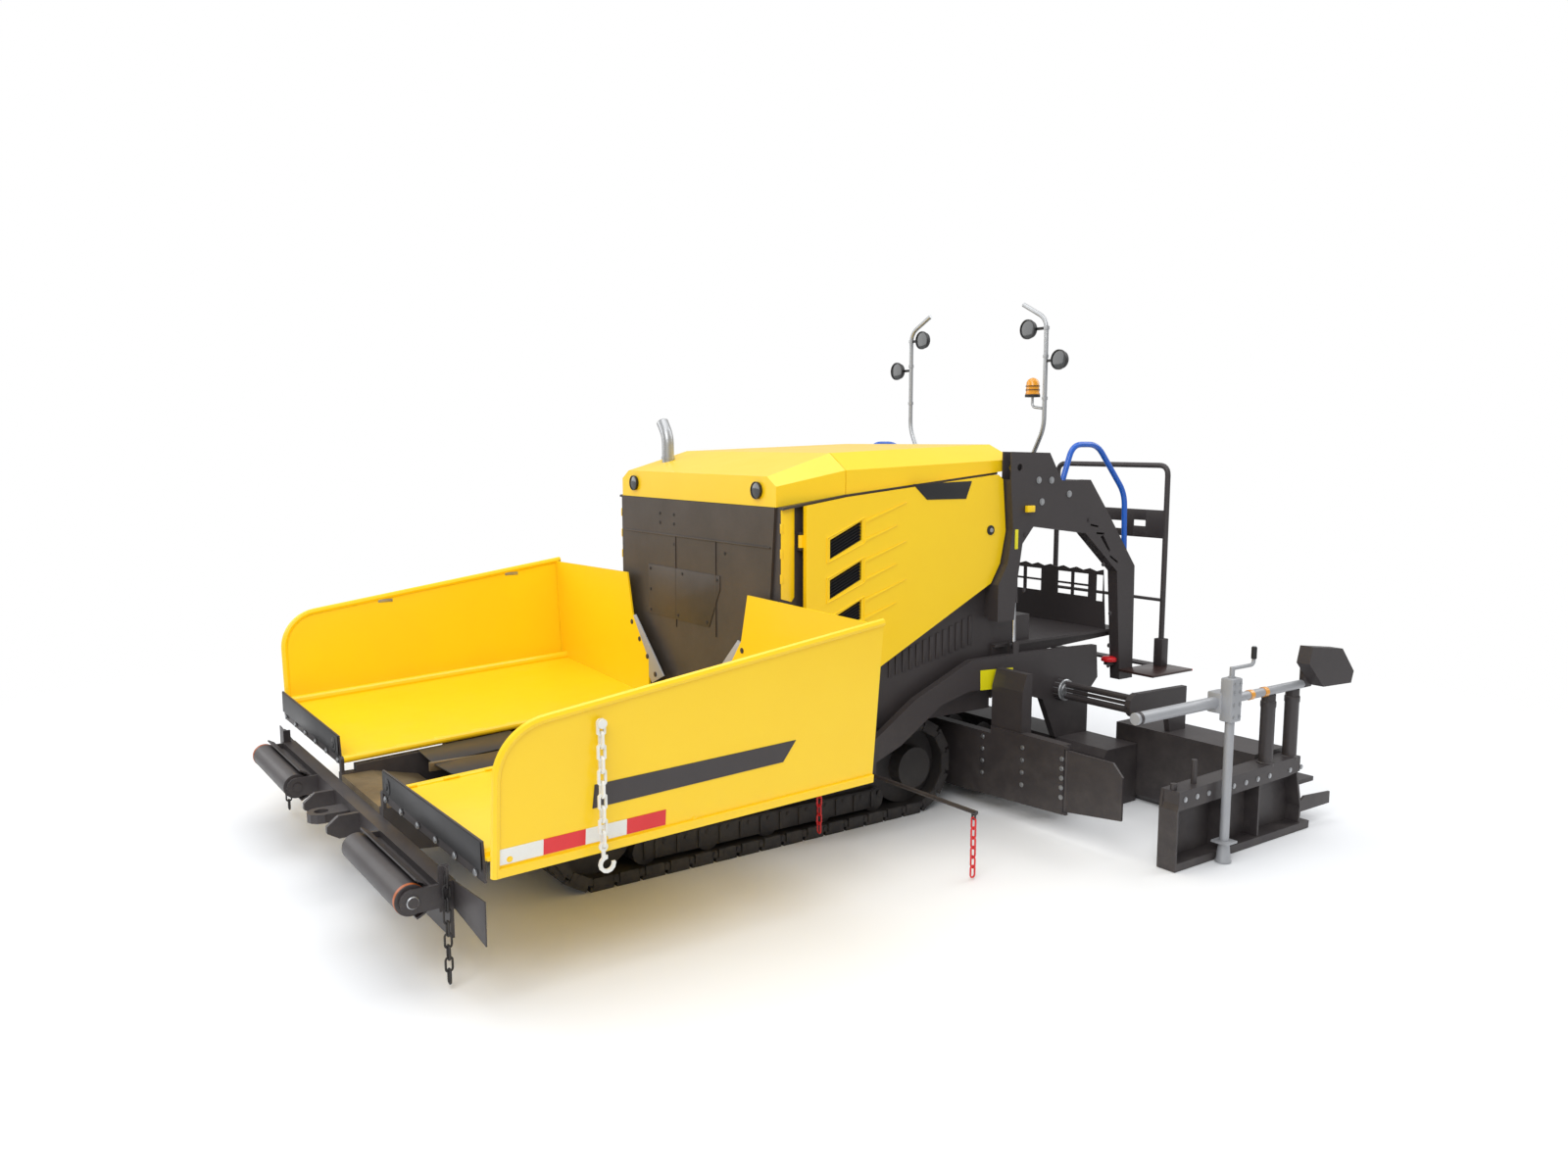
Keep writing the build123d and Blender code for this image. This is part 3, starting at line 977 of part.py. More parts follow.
# ------------------------------------------------------------------ augers
HANGER_X = 1235.0
HANGER_THICK = 14.0
HANGER_R = 45.0
STUB_R = 22.0
CASE_R = 95.0
CASE_HALF = 36.0
COLUMN_X = (TOW_OUTER_X + 18, TOW_OUTER_X + 238)
BOARD_OUTER_X = FLAP_HINGE_X - 16
FLAP_PIN_R = 5.0
with BuildPart() as auger_frame:
    for side in (-1, 1):
        # moldboard from the frame out to the flap hinge, higher outside the column
        with BuildSketch(cross_plane(MOLDBOARD_STATION + MOLDBOARD_THICK)):
            profile([(side * x, z) for x, z in (
                (FRAME_HALF, MOLDBOARD_LOW_Z - 34), (FRAME_HALF, MOLDBOARD_INNER_Z),
                (COLUMN_X[0] + 5, MOLDBOARD_INNER_Z),
                (COLUMN_X[0] + 5, MOLDBOARD_HIGH_Z), (BOARD_OUTER_X, MOLDBOARD_HIGH_Z),
                (BOARD_OUTER_X, MOLDBOARD_LOW_Z),
                (FRAME_HALF + 400, MOLDBOARD_LOW_Z - 34))])
        extrude(amount=MOLDBOARD_THICK)
        # its folded ledges
        for near, far, top_z in ((FRAME_HALF, COLUMN_X[0] + 5, MOLDBOARD_INNER_Z),
                                 (COLUMN_X[1] - 5, BOARD_OUTER_X, MOLDBOARD_HIGH_Z)):
            box_between(side * near, side * far, MOLDBOARD_STATION + MOLDBOARD_THICK - WELD,
                        MOLDBOARD_STATION + 60,
                        top_z - MOLDBOARD_THICK, top_z)
        # box column with a sloping front at its top
        with BuildSketch(side_plane(side * COLUMN_X[0] if side > 0 else -COLUMN_X[1])):
            profile(side_points(behind(MOLDBOARD_STATION + MOLDBOARD_THICK - WELD, AUGER_Z,
                                       [(0, -86), (0, 450), (30, 540), (72, 540), (72, 40)])))
        extrude(amount=COLUMN_X[1] - COLUMN_X[0])
        # outer bearing arm
        with BuildSketch(side_plane(side * HANGER_X if side > 0 else -HANGER_X - HANGER_THICK)):
            with Locations((st(AUGER_STATION), AUGER_Z)):
                RegularPolygon(HANGER_R, 12)
            with Locations((st((MOLDBOARD_STATION + AUGER_STATION) / 2 + 5), AUGER_Z)):
                Rectangle(AUGER_STATION - MOLDBOARD_STATION - 10, 2 * HANGER_R * cos(pi / 12))
            with Locations((st(AUGER_STATION), AUGER_Z)):
                RegularPolygon(STUB_R + RUN, BORE_SIDES, major_radius=False, mode=Mode.SUBTRACT)
        extrude(amount=HANGER_THICK)
        # flap hinge pin and its lugs
        for low in (MOLDBOARD_LOW_Z + 2, MOLDBOARD_HIGH_Z - 16):
            box_between(side * (FLAP_HINGE_X - 17), side * (FLAP_HINGE_X + 8), MOLDBOARD_STATION - 2,
                        MOLDBOARD_STATION + MOLDBOARD_THICK + 2, low, low + 14)
        with Locations((side * FLAP_HINGE_X, st(MOLDBOARD_STATION + MOLDBOARD_THICK / 2),
                        (MOLDBOARD_LOW_Z + MOLDBOARD_HIGH_Z) / 2)):
            Cylinder(FLAP_PIN_R, MOLDBOARD_HIGH_Z - MOLDBOARD_LOW_Z - 4)
    # centre drive case on its bracket
    with BuildSketch(side_plane(-CASE_HALF)):
        with Locations((st(AUGER_STATION), AUGER_Z)):
            RegularPolygon(CASE_R, 16)
        with Locations((st((FRAME_REAR + AUGER_STATION) / 2), AUGER_Z)):
            Rectangle(AUGER_STATION - FRAME_REAR, 120)
    extrude(amount=2 * CASE_HALF)
    for near in (-CASE_HALF, CASE_HALF - 20):
        with BuildSketch(side_plane(near)):
            with Locations((st(AUGER_STATION), AUGER_Z)):
                RegularPolygon(STUB_R + RUN, BORE_SIDES, major_radius=False)
        extrude(amount=20, mode=Mode.SUBTRACT)
auger_frame.part.label = "auger_frame"
export_step(auger_frame.part, "parts/auger_frame.step")

AUGER_START = CASE_HALF + SWING
AUGER_LAST = HANGER_X - SWING
FLIGHT_THICK = 10.0
FLIGHT_HALVES = int(2 * (AUGER_LAST - AUGER_START - 20) / AUGER_PITCH)
FLIGHT_TILT = degrees(atan(AUGER_PITCH / 4 / (0.62 * AUGER_R)))
with BuildPart() as half_flight:
    with BuildSketch(Plane.YZ):
        RegularPolygon(AUGER_R, 16)
        RegularPolygon(AUGER_SHAFT_R - 6, 8, mode=Mode.SUBTRACT)
        with Locations((-AUGER_R, 0)):
            Rectangle(2 * AUGER_R, 2 * AUGER_R + 10, mode=Mode.SUBTRACT)
    extrude(amount=FLIGHT_THICK / 2, both=True)
with BuildPart() as auger_left:
    with BuildSketch(side_plane(AUGER_START)):
        with Locations((st(AUGER_STATION), AUGER_Z)):
            RegularPolygon(AUGER_SHAFT_R, 12)
    extrude(amount=AUGER_LAST - AUGER_START)
    along_x(STUB_R, CASE_HALF - 18, HANGER_X + 20, AUGER_STATION, AUGER_Z)
    for half in range(FLIGHT_HALVES):
        flight_x = AUGER_START + 20 + (half + 0.5) * AUGER_PITCH / 2
        with Locations(Location((flight_x, st(AUGER_STATION), AUGER_Z), (180 * (half % 2), 0, 0))
                       * Location((0, 0, 0), (0, 0, FLIGHT_TILT))):
            add(half_flight.part)
auger_left.part.label = "auger_left"
export_step(auger_left.part, "parts/auger_left.step")

FLAP_LOW_Z = MOLDBOARD_LOW_Z + 20
FLAP_HIGH_Z = MOLDBOARD_HIGH_Z - 20
FLAP_OUTER_X = FLAP_HINGE_X + FLAP_WIDE
with BuildPart() as flap_left:
    with BuildSketch(cross_plane(MOLDBOARD_STATION + MOLDBOARD_THICK)):
        profile([(FLAP_HINGE_X + 2, FLAP_LOW_Z), (FLAP_OUTER_X, FLAP_LOW_Z + 45),
                 (FLAP_OUTER_X, FLAP_HIGH_Z - 60),
                 (FLAP_OUTER_X - 60, FLAP_HIGH_Z), (FLAP_HINGE_X + 2, FLAP_HIGH_Z)])
    extrude(amount=MOLDBOARD_THICK)
    with BuildSketch(Plane.XY.offset(FLAP_LOW_Z)):
        with Locations((FLAP_HINGE_X, st(MOLDBOARD_STATION + MOLDBOARD_THICK / 2))):
            RegularPolygon(2 * FLAP_PIN_R, 8)
    extrude(amount=FLAP_HIGH_Z - FLAP_LOW_Z)
    with BuildSketch(Plane.XY.offset(FLAP_LOW_Z)):
        with Locations((FLAP_HINGE_X, st(MOLDBOARD_STATION + MOLDBOARD_THICK / 2))):
            RegularPolygon(FLAP_PIN_R + RUN, 8, major_radius=False)
    extrude(amount=FLAP_HIGH_Z - FLAP_LOW_Z, mode=Mode.SUBTRACT)
flap_left.part.label = "flap_left"
export_step(flap_left.part, "parts/flap_left.step")

# ------------------------------------------------------------------ tow arms and screed
LIFT_EYE_STATION = LIFT_TOP_STATION + 17
LIFT_EYE_Z = DECK_Z - 5
EYE_PIN_R = 11.0
EAR_THICK = 8.0
GUIDE_Z = (SCREED_TOP_Z + 245, SCREED_TOP_Z + 311)
GUIDE_R = 18.0
RAM_R = 10.0
RAM_Z = sum(GUIDE_Z) / 2
BOSS_R = 64.0
tow_outline = (behind(TOW_STATION, TOW_Z, [(-38, -30), (-38, 35), (30, 70), (320, 256), (640, 387),
                                           (712, 416)])
               + behind(LIFT_EYE_STATION, LIFT_EYE_Z, [(-2, -45)])
               + behind(SCREED_REAR, SCREED_TOP_Z, [(65, 500), (81, 310), (0, 230), (0, 0)])
               + behind(SCREED_FRONT, SCREED_TOP_Z, [(12, 0), (-100, 235), (-459, 346)])
               + behind(TOW_STATION, TOW_Z, [(702, 251), (501, 203), (228, 30), (44, -40)]))
with BuildPart() as tow_arms:
    for side in (-1, 1):
        with BuildSketch(side_plane(TOW_INNER_X if side > 0 else -TOW_OUTER_X)):
            profile(side_points(tow_outline))
            with Locations((st(TOW_STATION), TOW_Z)):
                RegularPolygon(TOW_PIN_R + RUN, BORE_SIDES, major_radius=False, mode=Mode.SUBTRACT)
        extrude(amount=TOW_THICK)
        # ears for the lift rod's eye
        for ear in (TOW_INNER_X, TOW_OUTER_X - EAR_THICK):
            box_between(side * ear, side * (ear + EAR_THICK), LIFT_EYE_STATION - 22, LIFT_EYE_STATION + 22,
                        LIFT_EYE_Z - 55, LIFT_EYE_Z + 20)
        along_x(EYE_PIN_R, side * TOW_INNER_X, side * TOW_OUTER_X, LIFT_EYE_STATION, LIFT_EYE_Z)
        # guide boss of the extension tubes
        with BuildSketch(side_plane(TOW_OUTER_X - WELD if side > 0 else -TOW_OUTER_X - 37)):
            with Locations((st(GUIDE_STATION), RAM_Z)):
                RegularPolygon(BOSS_R, 12)
        extrude(amount=37 + WELD)
        with BuildSketch(side_plane(TOW_INNER_X - 2 if side > 0 else -TOW_OUTER_X - 40)):
            for radius, tube_z in ((GUIDE_R, GUIDE_Z[0]), (GUIDE_R, GUIDE_Z[1]), (RAM_R, RAM_Z)):
                with Locations((st(GUIDE_STATION), tube_z)):
                    RegularPolygon(radius + RUN, BORE_SIDES, major_radius=False)
        extrude(amount=TOW_THICK + 42, mode=Mode.SUBTRACT)
tow_arms.part.label = "tow_arms"
export_step(tow_arms.part, "parts/tow_arms.step")

with BuildPart() as screed:
    with BuildSketch(side_plane(-SCREED_HALF)):
        profile(side_points([(SCREED_FRONT, SCREED_LOW_Z + 57), (SCREED_FRONT, SCREED_TOP_Z - 40),
                             (SCREED_FRONT + 30, SCREED_TOP_Z), (SCREED_REAR, SCREED_TOP_Z),
                             (SCREED_REAR, SCREED_LOW_Z), (SCREED_FRONT + 50, SCREED_LOW_Z)]))
    extrude(amount=2 * SCREED_HALF)
screed.part.label = "screed"
export_step(screed.part, "parts/screed.step")

HUB_X = EXT_INNER + 290
HUB_THICK = 34.0
TUBE_INNER_X = EXT_INNER - 620
END_FRONT = SCREED_FRONT - 477
END_REAR = EXT_REAR - 40
END_OUTER_X = EXT_OUTER + END_PLATE_WIDE
END_SKIN = 14.0
END_BEAM_Z = EXT_TOP_Z - 40
ARM_X = END_OUTER_X - 20
ARM_Z = END_BEAM_Z + 390
ARM_R = 28.0
ARM_REAR_R = 22.0
POST_R = 34.0
POST_X = END_OUTER_X - 40
POST_STATIONS = (END_REAR - 360, END_REAR - 150)
with BuildPart() as extension_left:
    with BuildSketch(side_plane(EXT_INNER)):
        profile(side_points([(EXT_FRONT, SCREED_LOW_Z + 37), (EXT_FRONT, EXT_TOP_Z),
                             (EXT_REAR - 120, EXT_TOP_Z),
                             (EXT_REAR, EXT_TOP_Z - 165), (EXT_REAR, SCREED_LOW_Z),
                             (EXT_FRONT + 40, SCREED_LOW_Z)]))
    extrude(amount=EXT_WIDE)
    box_between(EXT_INNER, EXT_OUTER, EXT_REAR - 2, EXT_REAR + 160, EXT_TOP_Z - 229, EXT_TOP_Z - 205)
    # end plate: thin web on its inner side, with the channel beam, ski, strut and ribs standing out of it
    end_front = behind(END_FRONT, 0, [(12, END_BEAM_Z), (0, END_BEAM_Z - 90), (0, SCREED_LOW_Z)])
    end_rear = behind(END_REAR, 0, [(0, SCREED_LOW_Z), (6, 119), (-58, 131), (-110, END_BEAM_Z - 60),
                                    (-110, END_BEAM_Z + 18), (-220, END_BEAM_Z + 18)])
    beam_points = [end_front[0], (END_FRONT + 12, END_BEAM_Z - 90), (END_REAR - 220, END_BEAM_Z - 72),
                   (END_REAR - 110, END_BEAM_Z - 60), end_rear[4], end_rear[5]]
    strut_points = behind(END_REAR, 0, [(-70, SCREED_LOW_Z), (-58, 131), (-110, END_BEAM_Z - 58),
                                        (-124, END_BEAM_Z - 58),
                                        (-72, 125), (-84, SCREED_LOW_Z)])
    ski_points = behind(0, SCREED_LOW_Z, [(END_FRONT, 0), (END_REAR, 0), (END_REAR + 2, 38), (END_FRONT, 38)])
    nose_points = behind(END_FRONT, 0, [(0, SCREED_LOW_Z), (12, SCREED_LOW_Z), (12, END_BEAM_Z - 60),
                                        (0, END_BEAM_Z - 90)])
    for outline, wide in ((end_front + end_rear, END_SKIN), (beam_points, END_PLATE_WIDE),
                          (ski_points, END_PLATE_WIDE),
                          (nose_points, END_PLATE_WIDE), (strut_points, END_PLATE_WIDE - 12)):
        with BuildSketch(side_plane(EXT_OUTER)):
            profile(side_points(outline))
        extrude(amount=wide)
    for rib_station in (END_FRONT + 367, END_FRONT + 667):
        box_between(EXT_OUTER, END_OUTER_X - 10, rib_station, rib_station + 12, SCREED_LOW_Z + 30,
                    END_BEAM_Z - 80)
    # tail plate behind the strut
    with BuildSketch(side_plane(EXT_OUTER + 66)):
        profile(side_points(behind(END_REAR, 0, [(-76, 88), (231, 88), (231, 151), (-10, 167), (-76, 125)])))
    extrude(amount=12)
    # posts under the sensor arm and the two stubs on the beam
    for radius, sides, places, low, high in (
            (POST_R, 12, [(POST_X, st(station)) for station in POST_STATIONS], END_BEAM_Z,
             ARM_Z - ARM_REAR_R - RUN),
            (14, 8, [(POST_X - 10, st(END_FRONT + 186))], END_BEAM_Z - 5, END_BEAM_Z + 120),
            (16, 8, [(POST_X - 10, st(END_FRONT + 34))], END_BEAM_Z - 5, END_BEAM_Z + 29)):
        with BuildSketch(Plane.XY.offset(low)):
            with Locations(*places):
                RegularPolygon(radius, sides)
        extrude(amount=high - low)
    # guide tubes, ram rod and the side frame that joins them to the extension
    for radius, start, tube_z in ((GUIDE_R, TUBE_INNER_X, GUIDE_Z[0]), (GUIDE_R, TUBE_INNER_X, GUIDE_Z[1]),
                                  (RAM_R, TUBE_INNER_X + 200, RAM_Z)):
        with BuildSketch(side_plane(start)):
            with Locations((st(GUIDE_STATION), tube_z)):
                RegularPolygon(radius, BORE_SIDES, major_radius=False)
        extrude(amount=HUB_X + WELD - start)
    with BuildSketch(side_plane(HUB_X)):
        with Locations((st(GUIDE_STATION), RAM_Z)):
            RegularPolygon(BOSS_R + 2, 12)
        profile(side_points([(GUIDE_STATION, RAM_Z - BOSS_R), (GUIDE_STATION, RAM_Z + BOSS_R),
                             (EXT_FRONT + 179, RAM_Z + 57), (EXT_FRONT + 179, EXT_TOP_Z - WELD),
                             (EXT_FRONT + 44, EXT_TOP_Z - WELD), (EXT_FRONT + 14, RAM_Z - 48)]))
    extrude(amount=HUB_THICK)
    # control box beside the rear end of the sensor arm
    with BuildSketch(side_plane(ARM_X + ARM_REAR_R + RUN)):
        profile(side_points(behind(END_REAR, ARM_Z, [(-200, 125), (-175, 210), (100, 175), (220, 45),
                                                     (200, -15),
                                                     (-60, -5)])))
    extrude(amount=70)
extension_left.part.label = "extension_left"
export_step(extension_left.part, "parts/extension_left.step")

# sensor arm on the end plate's posts: telescopic tube, clamp and jack
JACK_X = ARM_X + 60
JACK_STATION = END_FRONT + 317
JACK_R = 22.0
JACK_FOOT_Z = 100.0
JACK_TOP_Z = ARM_Z + 125
JOIN_STATION = JACK_STATION + 40
with BuildPart() as sensor_arm_left:
    for radius, start, end in ((ARM_R, END_FRONT - 310, JOIN_STATION),
                               (ARM_REAR_R, JOIN_STATION, END_REAR - 100)):
        with BuildSketch(cross_plane(end)):
            with Locations((ARM_X, ARM_Z)):
                RegularPolygon(radius, 12)
        extrude(amount=end - start)
    # clamp round the tube and the jack, one block each
    box_between(ARM_X - 38, JACK_X - 20, JACK_STATION - 45, JACK_STATION + 45, ARM_Z - 50, ARM_Z + 50)
    box_between(JACK_X - 34, JACK_X + 34, JACK_STATION - 40, JACK_STATION + 40, ARM_Z - 85, JACK_TOP_Z)
    # jack: foot cup, tube, crank and handle as rows of radius, sides, station, low and high
    for radius, sides, station, low, high in (
            (38, 12, JACK_STATION, SCREED_LOW_Z, JACK_FOOT_Z),
            (JACK_R, 12, JACK_STATION, JACK_FOOT_Z - 5, ARM_Z),
            (12, 8, JACK_STATION, JACK_TOP_Z - WELD, JACK_TOP_Z + 50),
            (10, 8, JACK_STATION + 170, JACK_TOP_Z + 38, JACK_TOP_Z + 132)):
        with BuildSketch(Plane.XY.offset(low)):
            with Locations((JACK_X, st(station))):
                RegularPolygon(radius, sides)
        extrude(amount=high - low)
    box_between(JACK_X - 44, JACK_X + 44, JACK_STATION - 44, JACK_STATION + 44, JACK_FOOT_Z - 4,
                JACK_FOOT_Z + 8)
    box_between(JACK_X - 8, JACK_X + 8, JACK_STATION, JACK_STATION + 176, JACK_TOP_Z + 38, JACK_TOP_Z + 50)
    # bracket at the tube's rear end, which carries the control box
    box_between(ARM_X - 12, ARM_X + ARM_REAR_R, END_REAR - 110, END_REAR - 50, ARM_Z - 15, ARM_Z + 85)
sensor_arm_left.part.label = "sensor_arm_left"
export_step(sensor_arm_left.part, "parts/sensor_arm_left.step")

# ------------------------------------------------------------------ cylinders
BARREL_R = 20.0
ROD_BAR_R = 11.0
LIFT_RUN = LIFT_EYE_STATION - LIFT_TOP_STATION
LIFT_DROP = LIFT_TOP_Z - LIFT_EYE_Z
LIFT_LONG = (LIFT_RUN ** 2 + LIFT_DROP ** 2) ** 0.5
LIFT_BARREL = LIFT_LONG - 235
lift_axis = Plane(origin=(LIFT_X, st(LIFT_TOP_STATION), LIFT_TOP_Z),
                  x_dir=(1, 0, 0), z_dir=(0, LIFT_RUN, -LIFT_DROP))
with BuildPart() as lift_barrel_left:
    with BuildSketch(lift_axis.offset(10)):
        RegularPolygon(BARREL_R, BORE_SIDES)
    extrude(amount=LIFT_BARREL - 10)
    for radius, wide, mode in ((BARREL_R, 20, Mode.ADD), (LIFT_PIN_R + RUN, 22, Mode.SUBTRACT)):
        with BuildSketch(side_plane(LIFT_X - wide)):
            with Locations((st(LIFT_TOP_STATION), LIFT_TOP_Z)):
                RegularPolygon(radius, BORE_SIDES, major_radius=False)
        extrude(amount=2 * wide, mode=mode)
    with BuildSketch(lift_axis.offset(LIFT_BARREL + 1)):
        RegularPolygon(ROD_BAR_R + RUN, BORE_SIDES, major_radius=False)
    extrude(amount=-(LIFT_BARREL - 60), mode=Mode.SUBTRACT)
lift_barrel_left.part.label = "lift_barrel_left"
export_step(lift_barrel_left.part, "parts/lift_barrel_left.step")

EYE_R = 22.0
EYE_PLAY = 4.0
with BuildPart() as lift_rod_left:
    with BuildSketch(lift_axis.offset(LIFT_LONG - EYE_R + 4)):
        Circle(ROD_BAR_R)
    extrude(amount=-(LIFT_LONG - EYE_R + 4 - LIFT_BARREL + 180))
    along_x(EYE_R, TOW_INNER_X + EAR_THICK + 2, TOW_OUTER_X - EAR_THICK - 2, LIFT_EYE_STATION, LIFT_EYE_Z)
    along_x(EYE_PIN_R + EYE_PLAY, TOW_INNER_X + EAR_THICK, TOW_OUTER_X - EAR_THICK, LIFT_EYE_STATION,
            LIFT_EYE_Z,
            mode=Mode.SUBTRACT)
lift_rod_left.part.label = "lift_rod_left"
export_step(lift_rod_left.part, "parts/lift_rod_left.step")

# ------------------------------------------------------------------ right-hand twins
for left, name in (
        (track_left, "track_right"), (push_roller_left, "push_roller_right"), (wing_left, "wing_right"),
        (wing_board_left, "wing_board_right"), (side_door_left, "side_door_right"),
        (auger_left, "auger_right"), (flap_left, "flap_right"), (extension_left, "extension_right"),
        (sensor_arm_left, "sensor_arm_right"), (lift_barrel_left, "lift_barrel_right"),
        (lift_rod_left, "lift_rod_right")):
    with BuildPart() as twin:
        mirror(left.part, about=Plane.YZ)
    twin.part.label = name
    export_step(twin.part, f"parts/{name}.step")
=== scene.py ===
import bpy, bmesh, json, math
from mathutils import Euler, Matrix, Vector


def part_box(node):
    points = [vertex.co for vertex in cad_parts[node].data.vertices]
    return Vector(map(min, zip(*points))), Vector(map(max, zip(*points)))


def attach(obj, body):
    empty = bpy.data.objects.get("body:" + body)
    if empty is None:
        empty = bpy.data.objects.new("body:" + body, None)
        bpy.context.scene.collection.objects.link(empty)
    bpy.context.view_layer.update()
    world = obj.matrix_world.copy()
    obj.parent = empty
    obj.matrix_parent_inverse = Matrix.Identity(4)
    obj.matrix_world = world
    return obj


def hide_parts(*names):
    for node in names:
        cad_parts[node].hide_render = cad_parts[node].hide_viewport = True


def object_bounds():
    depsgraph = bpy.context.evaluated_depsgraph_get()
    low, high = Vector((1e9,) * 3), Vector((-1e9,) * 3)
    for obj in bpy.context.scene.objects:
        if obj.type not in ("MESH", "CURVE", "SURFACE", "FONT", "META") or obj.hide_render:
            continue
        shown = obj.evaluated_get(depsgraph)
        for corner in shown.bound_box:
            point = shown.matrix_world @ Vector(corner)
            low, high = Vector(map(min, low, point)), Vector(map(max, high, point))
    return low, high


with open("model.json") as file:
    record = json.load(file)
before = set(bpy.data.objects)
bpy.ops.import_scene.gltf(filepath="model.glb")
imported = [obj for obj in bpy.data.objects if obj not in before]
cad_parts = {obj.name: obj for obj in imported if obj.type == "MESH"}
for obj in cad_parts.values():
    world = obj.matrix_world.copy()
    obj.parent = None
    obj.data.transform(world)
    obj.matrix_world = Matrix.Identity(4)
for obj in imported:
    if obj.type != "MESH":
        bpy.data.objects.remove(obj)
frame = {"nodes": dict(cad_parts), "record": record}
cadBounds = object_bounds()
scene = bpy.context.scene
scene.view_settings.view_transform = "Standard"


def middleOf(node):
    # middle of a CAD node's box, in metres
    low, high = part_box(node)
    return [(low[axis] + high[axis]) / 2 for axis in range(3)]


# y of the push roller axis; every station below is millimetres behind it
frontY = middleOf("push_roller_left")[1]


def at(x, station, z):
    return Vector((x / 1000, frontY + station / 1000, z / 1000))


def across(station, spots, side=1):
    # points on an upright plane across the machine; spots are (x, z)
    return [at(side * x, station, z) for x, z in spots]


def along(x, spots):
    # points on an upright plane along the machine; spots are (station, z)
    return [at(x, station, z) for station, z in spots]


def onSide(side, place):
    # a place (x, station, z) on the left, or its mirror on the right where side is -1
    return at(side * place[0], place[1], place[2])


# camera, floor and light
cameraSizes = {"lens": 26.81, "sensor": 36.0, "azimuth": 54.686, "pitch": 7.186, "x": 5295.3, "station": -1238.1,
    "z": 2004.8, "reach": 200}
cameraData = bpy.data.cameras.new("studioCamera")
cameraData.lens = cameraSizes["lens"]
cameraData.sensor_width = cameraSizes["sensor"]
cameraData.clip_end = cameraSizes["reach"]
camera = bpy.data.objects.new("studioCamera", cameraData)
scene.collection.objects.link(camera)
camera.location = at(cameraSizes["x"], cameraSizes["station"], cameraSizes["z"])
camera.rotation_euler = Euler((math.radians(90 - cameraSizes["pitch"]), 0, math.radians(cameraSizes["azimuth"])))
scene.camera = camera
print("stage: camera set")


def newMaterial(name):
    material = bpy.data.materials.new(name)
    material.use_nodes = True
    material.node_tree.nodes.clear()
    return material, material.node_tree


def addNode(tree, kind, inputs=None, **settings):
    # settings come first, because some of them decide which inputs a node has
    node = tree.nodes.new(kind)
    for name, value in settings.items():
        setattr(node, name, value)
    for name, value in (inputs or {}).items():
        node.inputs[name].default_value = value
    return node


def addMath(tree, operation, first, second, clamp=False):
    node = addNode(tree, "ShaderNodeMath", operation=operation, use_clamp=clamp)
    tree.links.new(first, node.inputs[0])
    tree.links.new(second, node.inputs[1])
    return node.outputs[0]


def addRange(tree, value, limits, **settings):
    # a Map Range node on a value; limits holds its fixed ends
    node = addNode(tree, "ShaderNodeMapRange", limits, **settings)
    tree.links.new(value, node.inputs["Value"])
    return node


floorSizes = {"half": 9, "fade": {"From Min": 3.2, "From Max": 6.5}, "colour": (0.915, 0.93, 0.952, 1)}


def stageFloor():
    # pale floor that thins out with distance, so that it meets the white surround without an edge
    material, tree = newMaterial("studioFloor")
    link = tree.links.new
    out = addNode(tree, "ShaderNodeOutputMaterial")
    diffuse = addNode(tree, "ShaderNodeBsdfDiffuse", {"Color": floorSizes["colour"]})
    clear = addNode(tree, "ShaderNodeBsdfTransparent")
    spot = addNode(tree, "ShaderNodeTexCoord")
    far = addNode(tree, "ShaderNodeVectorMath", operation="LENGTH")
    fade = addRange(tree, far.outputs["Value"], floorSizes["fade"], interpolation_type="SMOOTHSTEP")
    blend = addNode(tree, "ShaderNodeMixShader")
    link(spot.outputs["Object"], far.inputs[0])
    link(fade.outputs["Result"], blend.inputs["Fac"])
    link(diffuse.outputs[0], blend.inputs[1])
    link(clear.outputs[0], blend.inputs[2])
    link(blend.outputs[0], out.inputs["Surface"])
    half = floorSizes["half"]
    mesh = bpy.data.meshes.new("floor")
    mesh.from_pydata([(-half, -half, 0), (half, -half, 0), (half, half, 0), (-half, half, 0)], [], [(0, 1, 2, 3)])
    mesh.materials.append(material)
    floor = bpy.data.objects.new("floor", mesh)
    scene.collection.objects.link(floor)


def lightWorld(lit, seen):
    # soft white light all round, and a plain white surround behind the machine
    world = bpy.data.worlds.new("studio")
    scene.world = world
    world.use_nodes = True
    tree = world.node_tree
    tree.nodes.clear()
    link = tree.links.new
    out = addNode(tree, "ShaderNodeOutputWorld")
    lightSky = addNode(tree, "ShaderNodeBackground", {"Color": (1, 1, 1, 1), "Strength": lit})
    seenSky = addNode(tree, "ShaderNodeBackground", {"Color": (1, 1, 1, 1), "Strength": seen})
    blend = addNode(tree, "ShaderNodeMixShader")
    path = addNode(tree, "ShaderNodeLightPath")
    link(path.outputs["Is Camera Ray"], blend.inputs["Fac"])
    link(lightSky.outputs[0], blend.inputs[1])
    link(seenSky.outputs[0], blend.inputs[2])
    link(blend.outputs[0], out.inputs["Surface"])


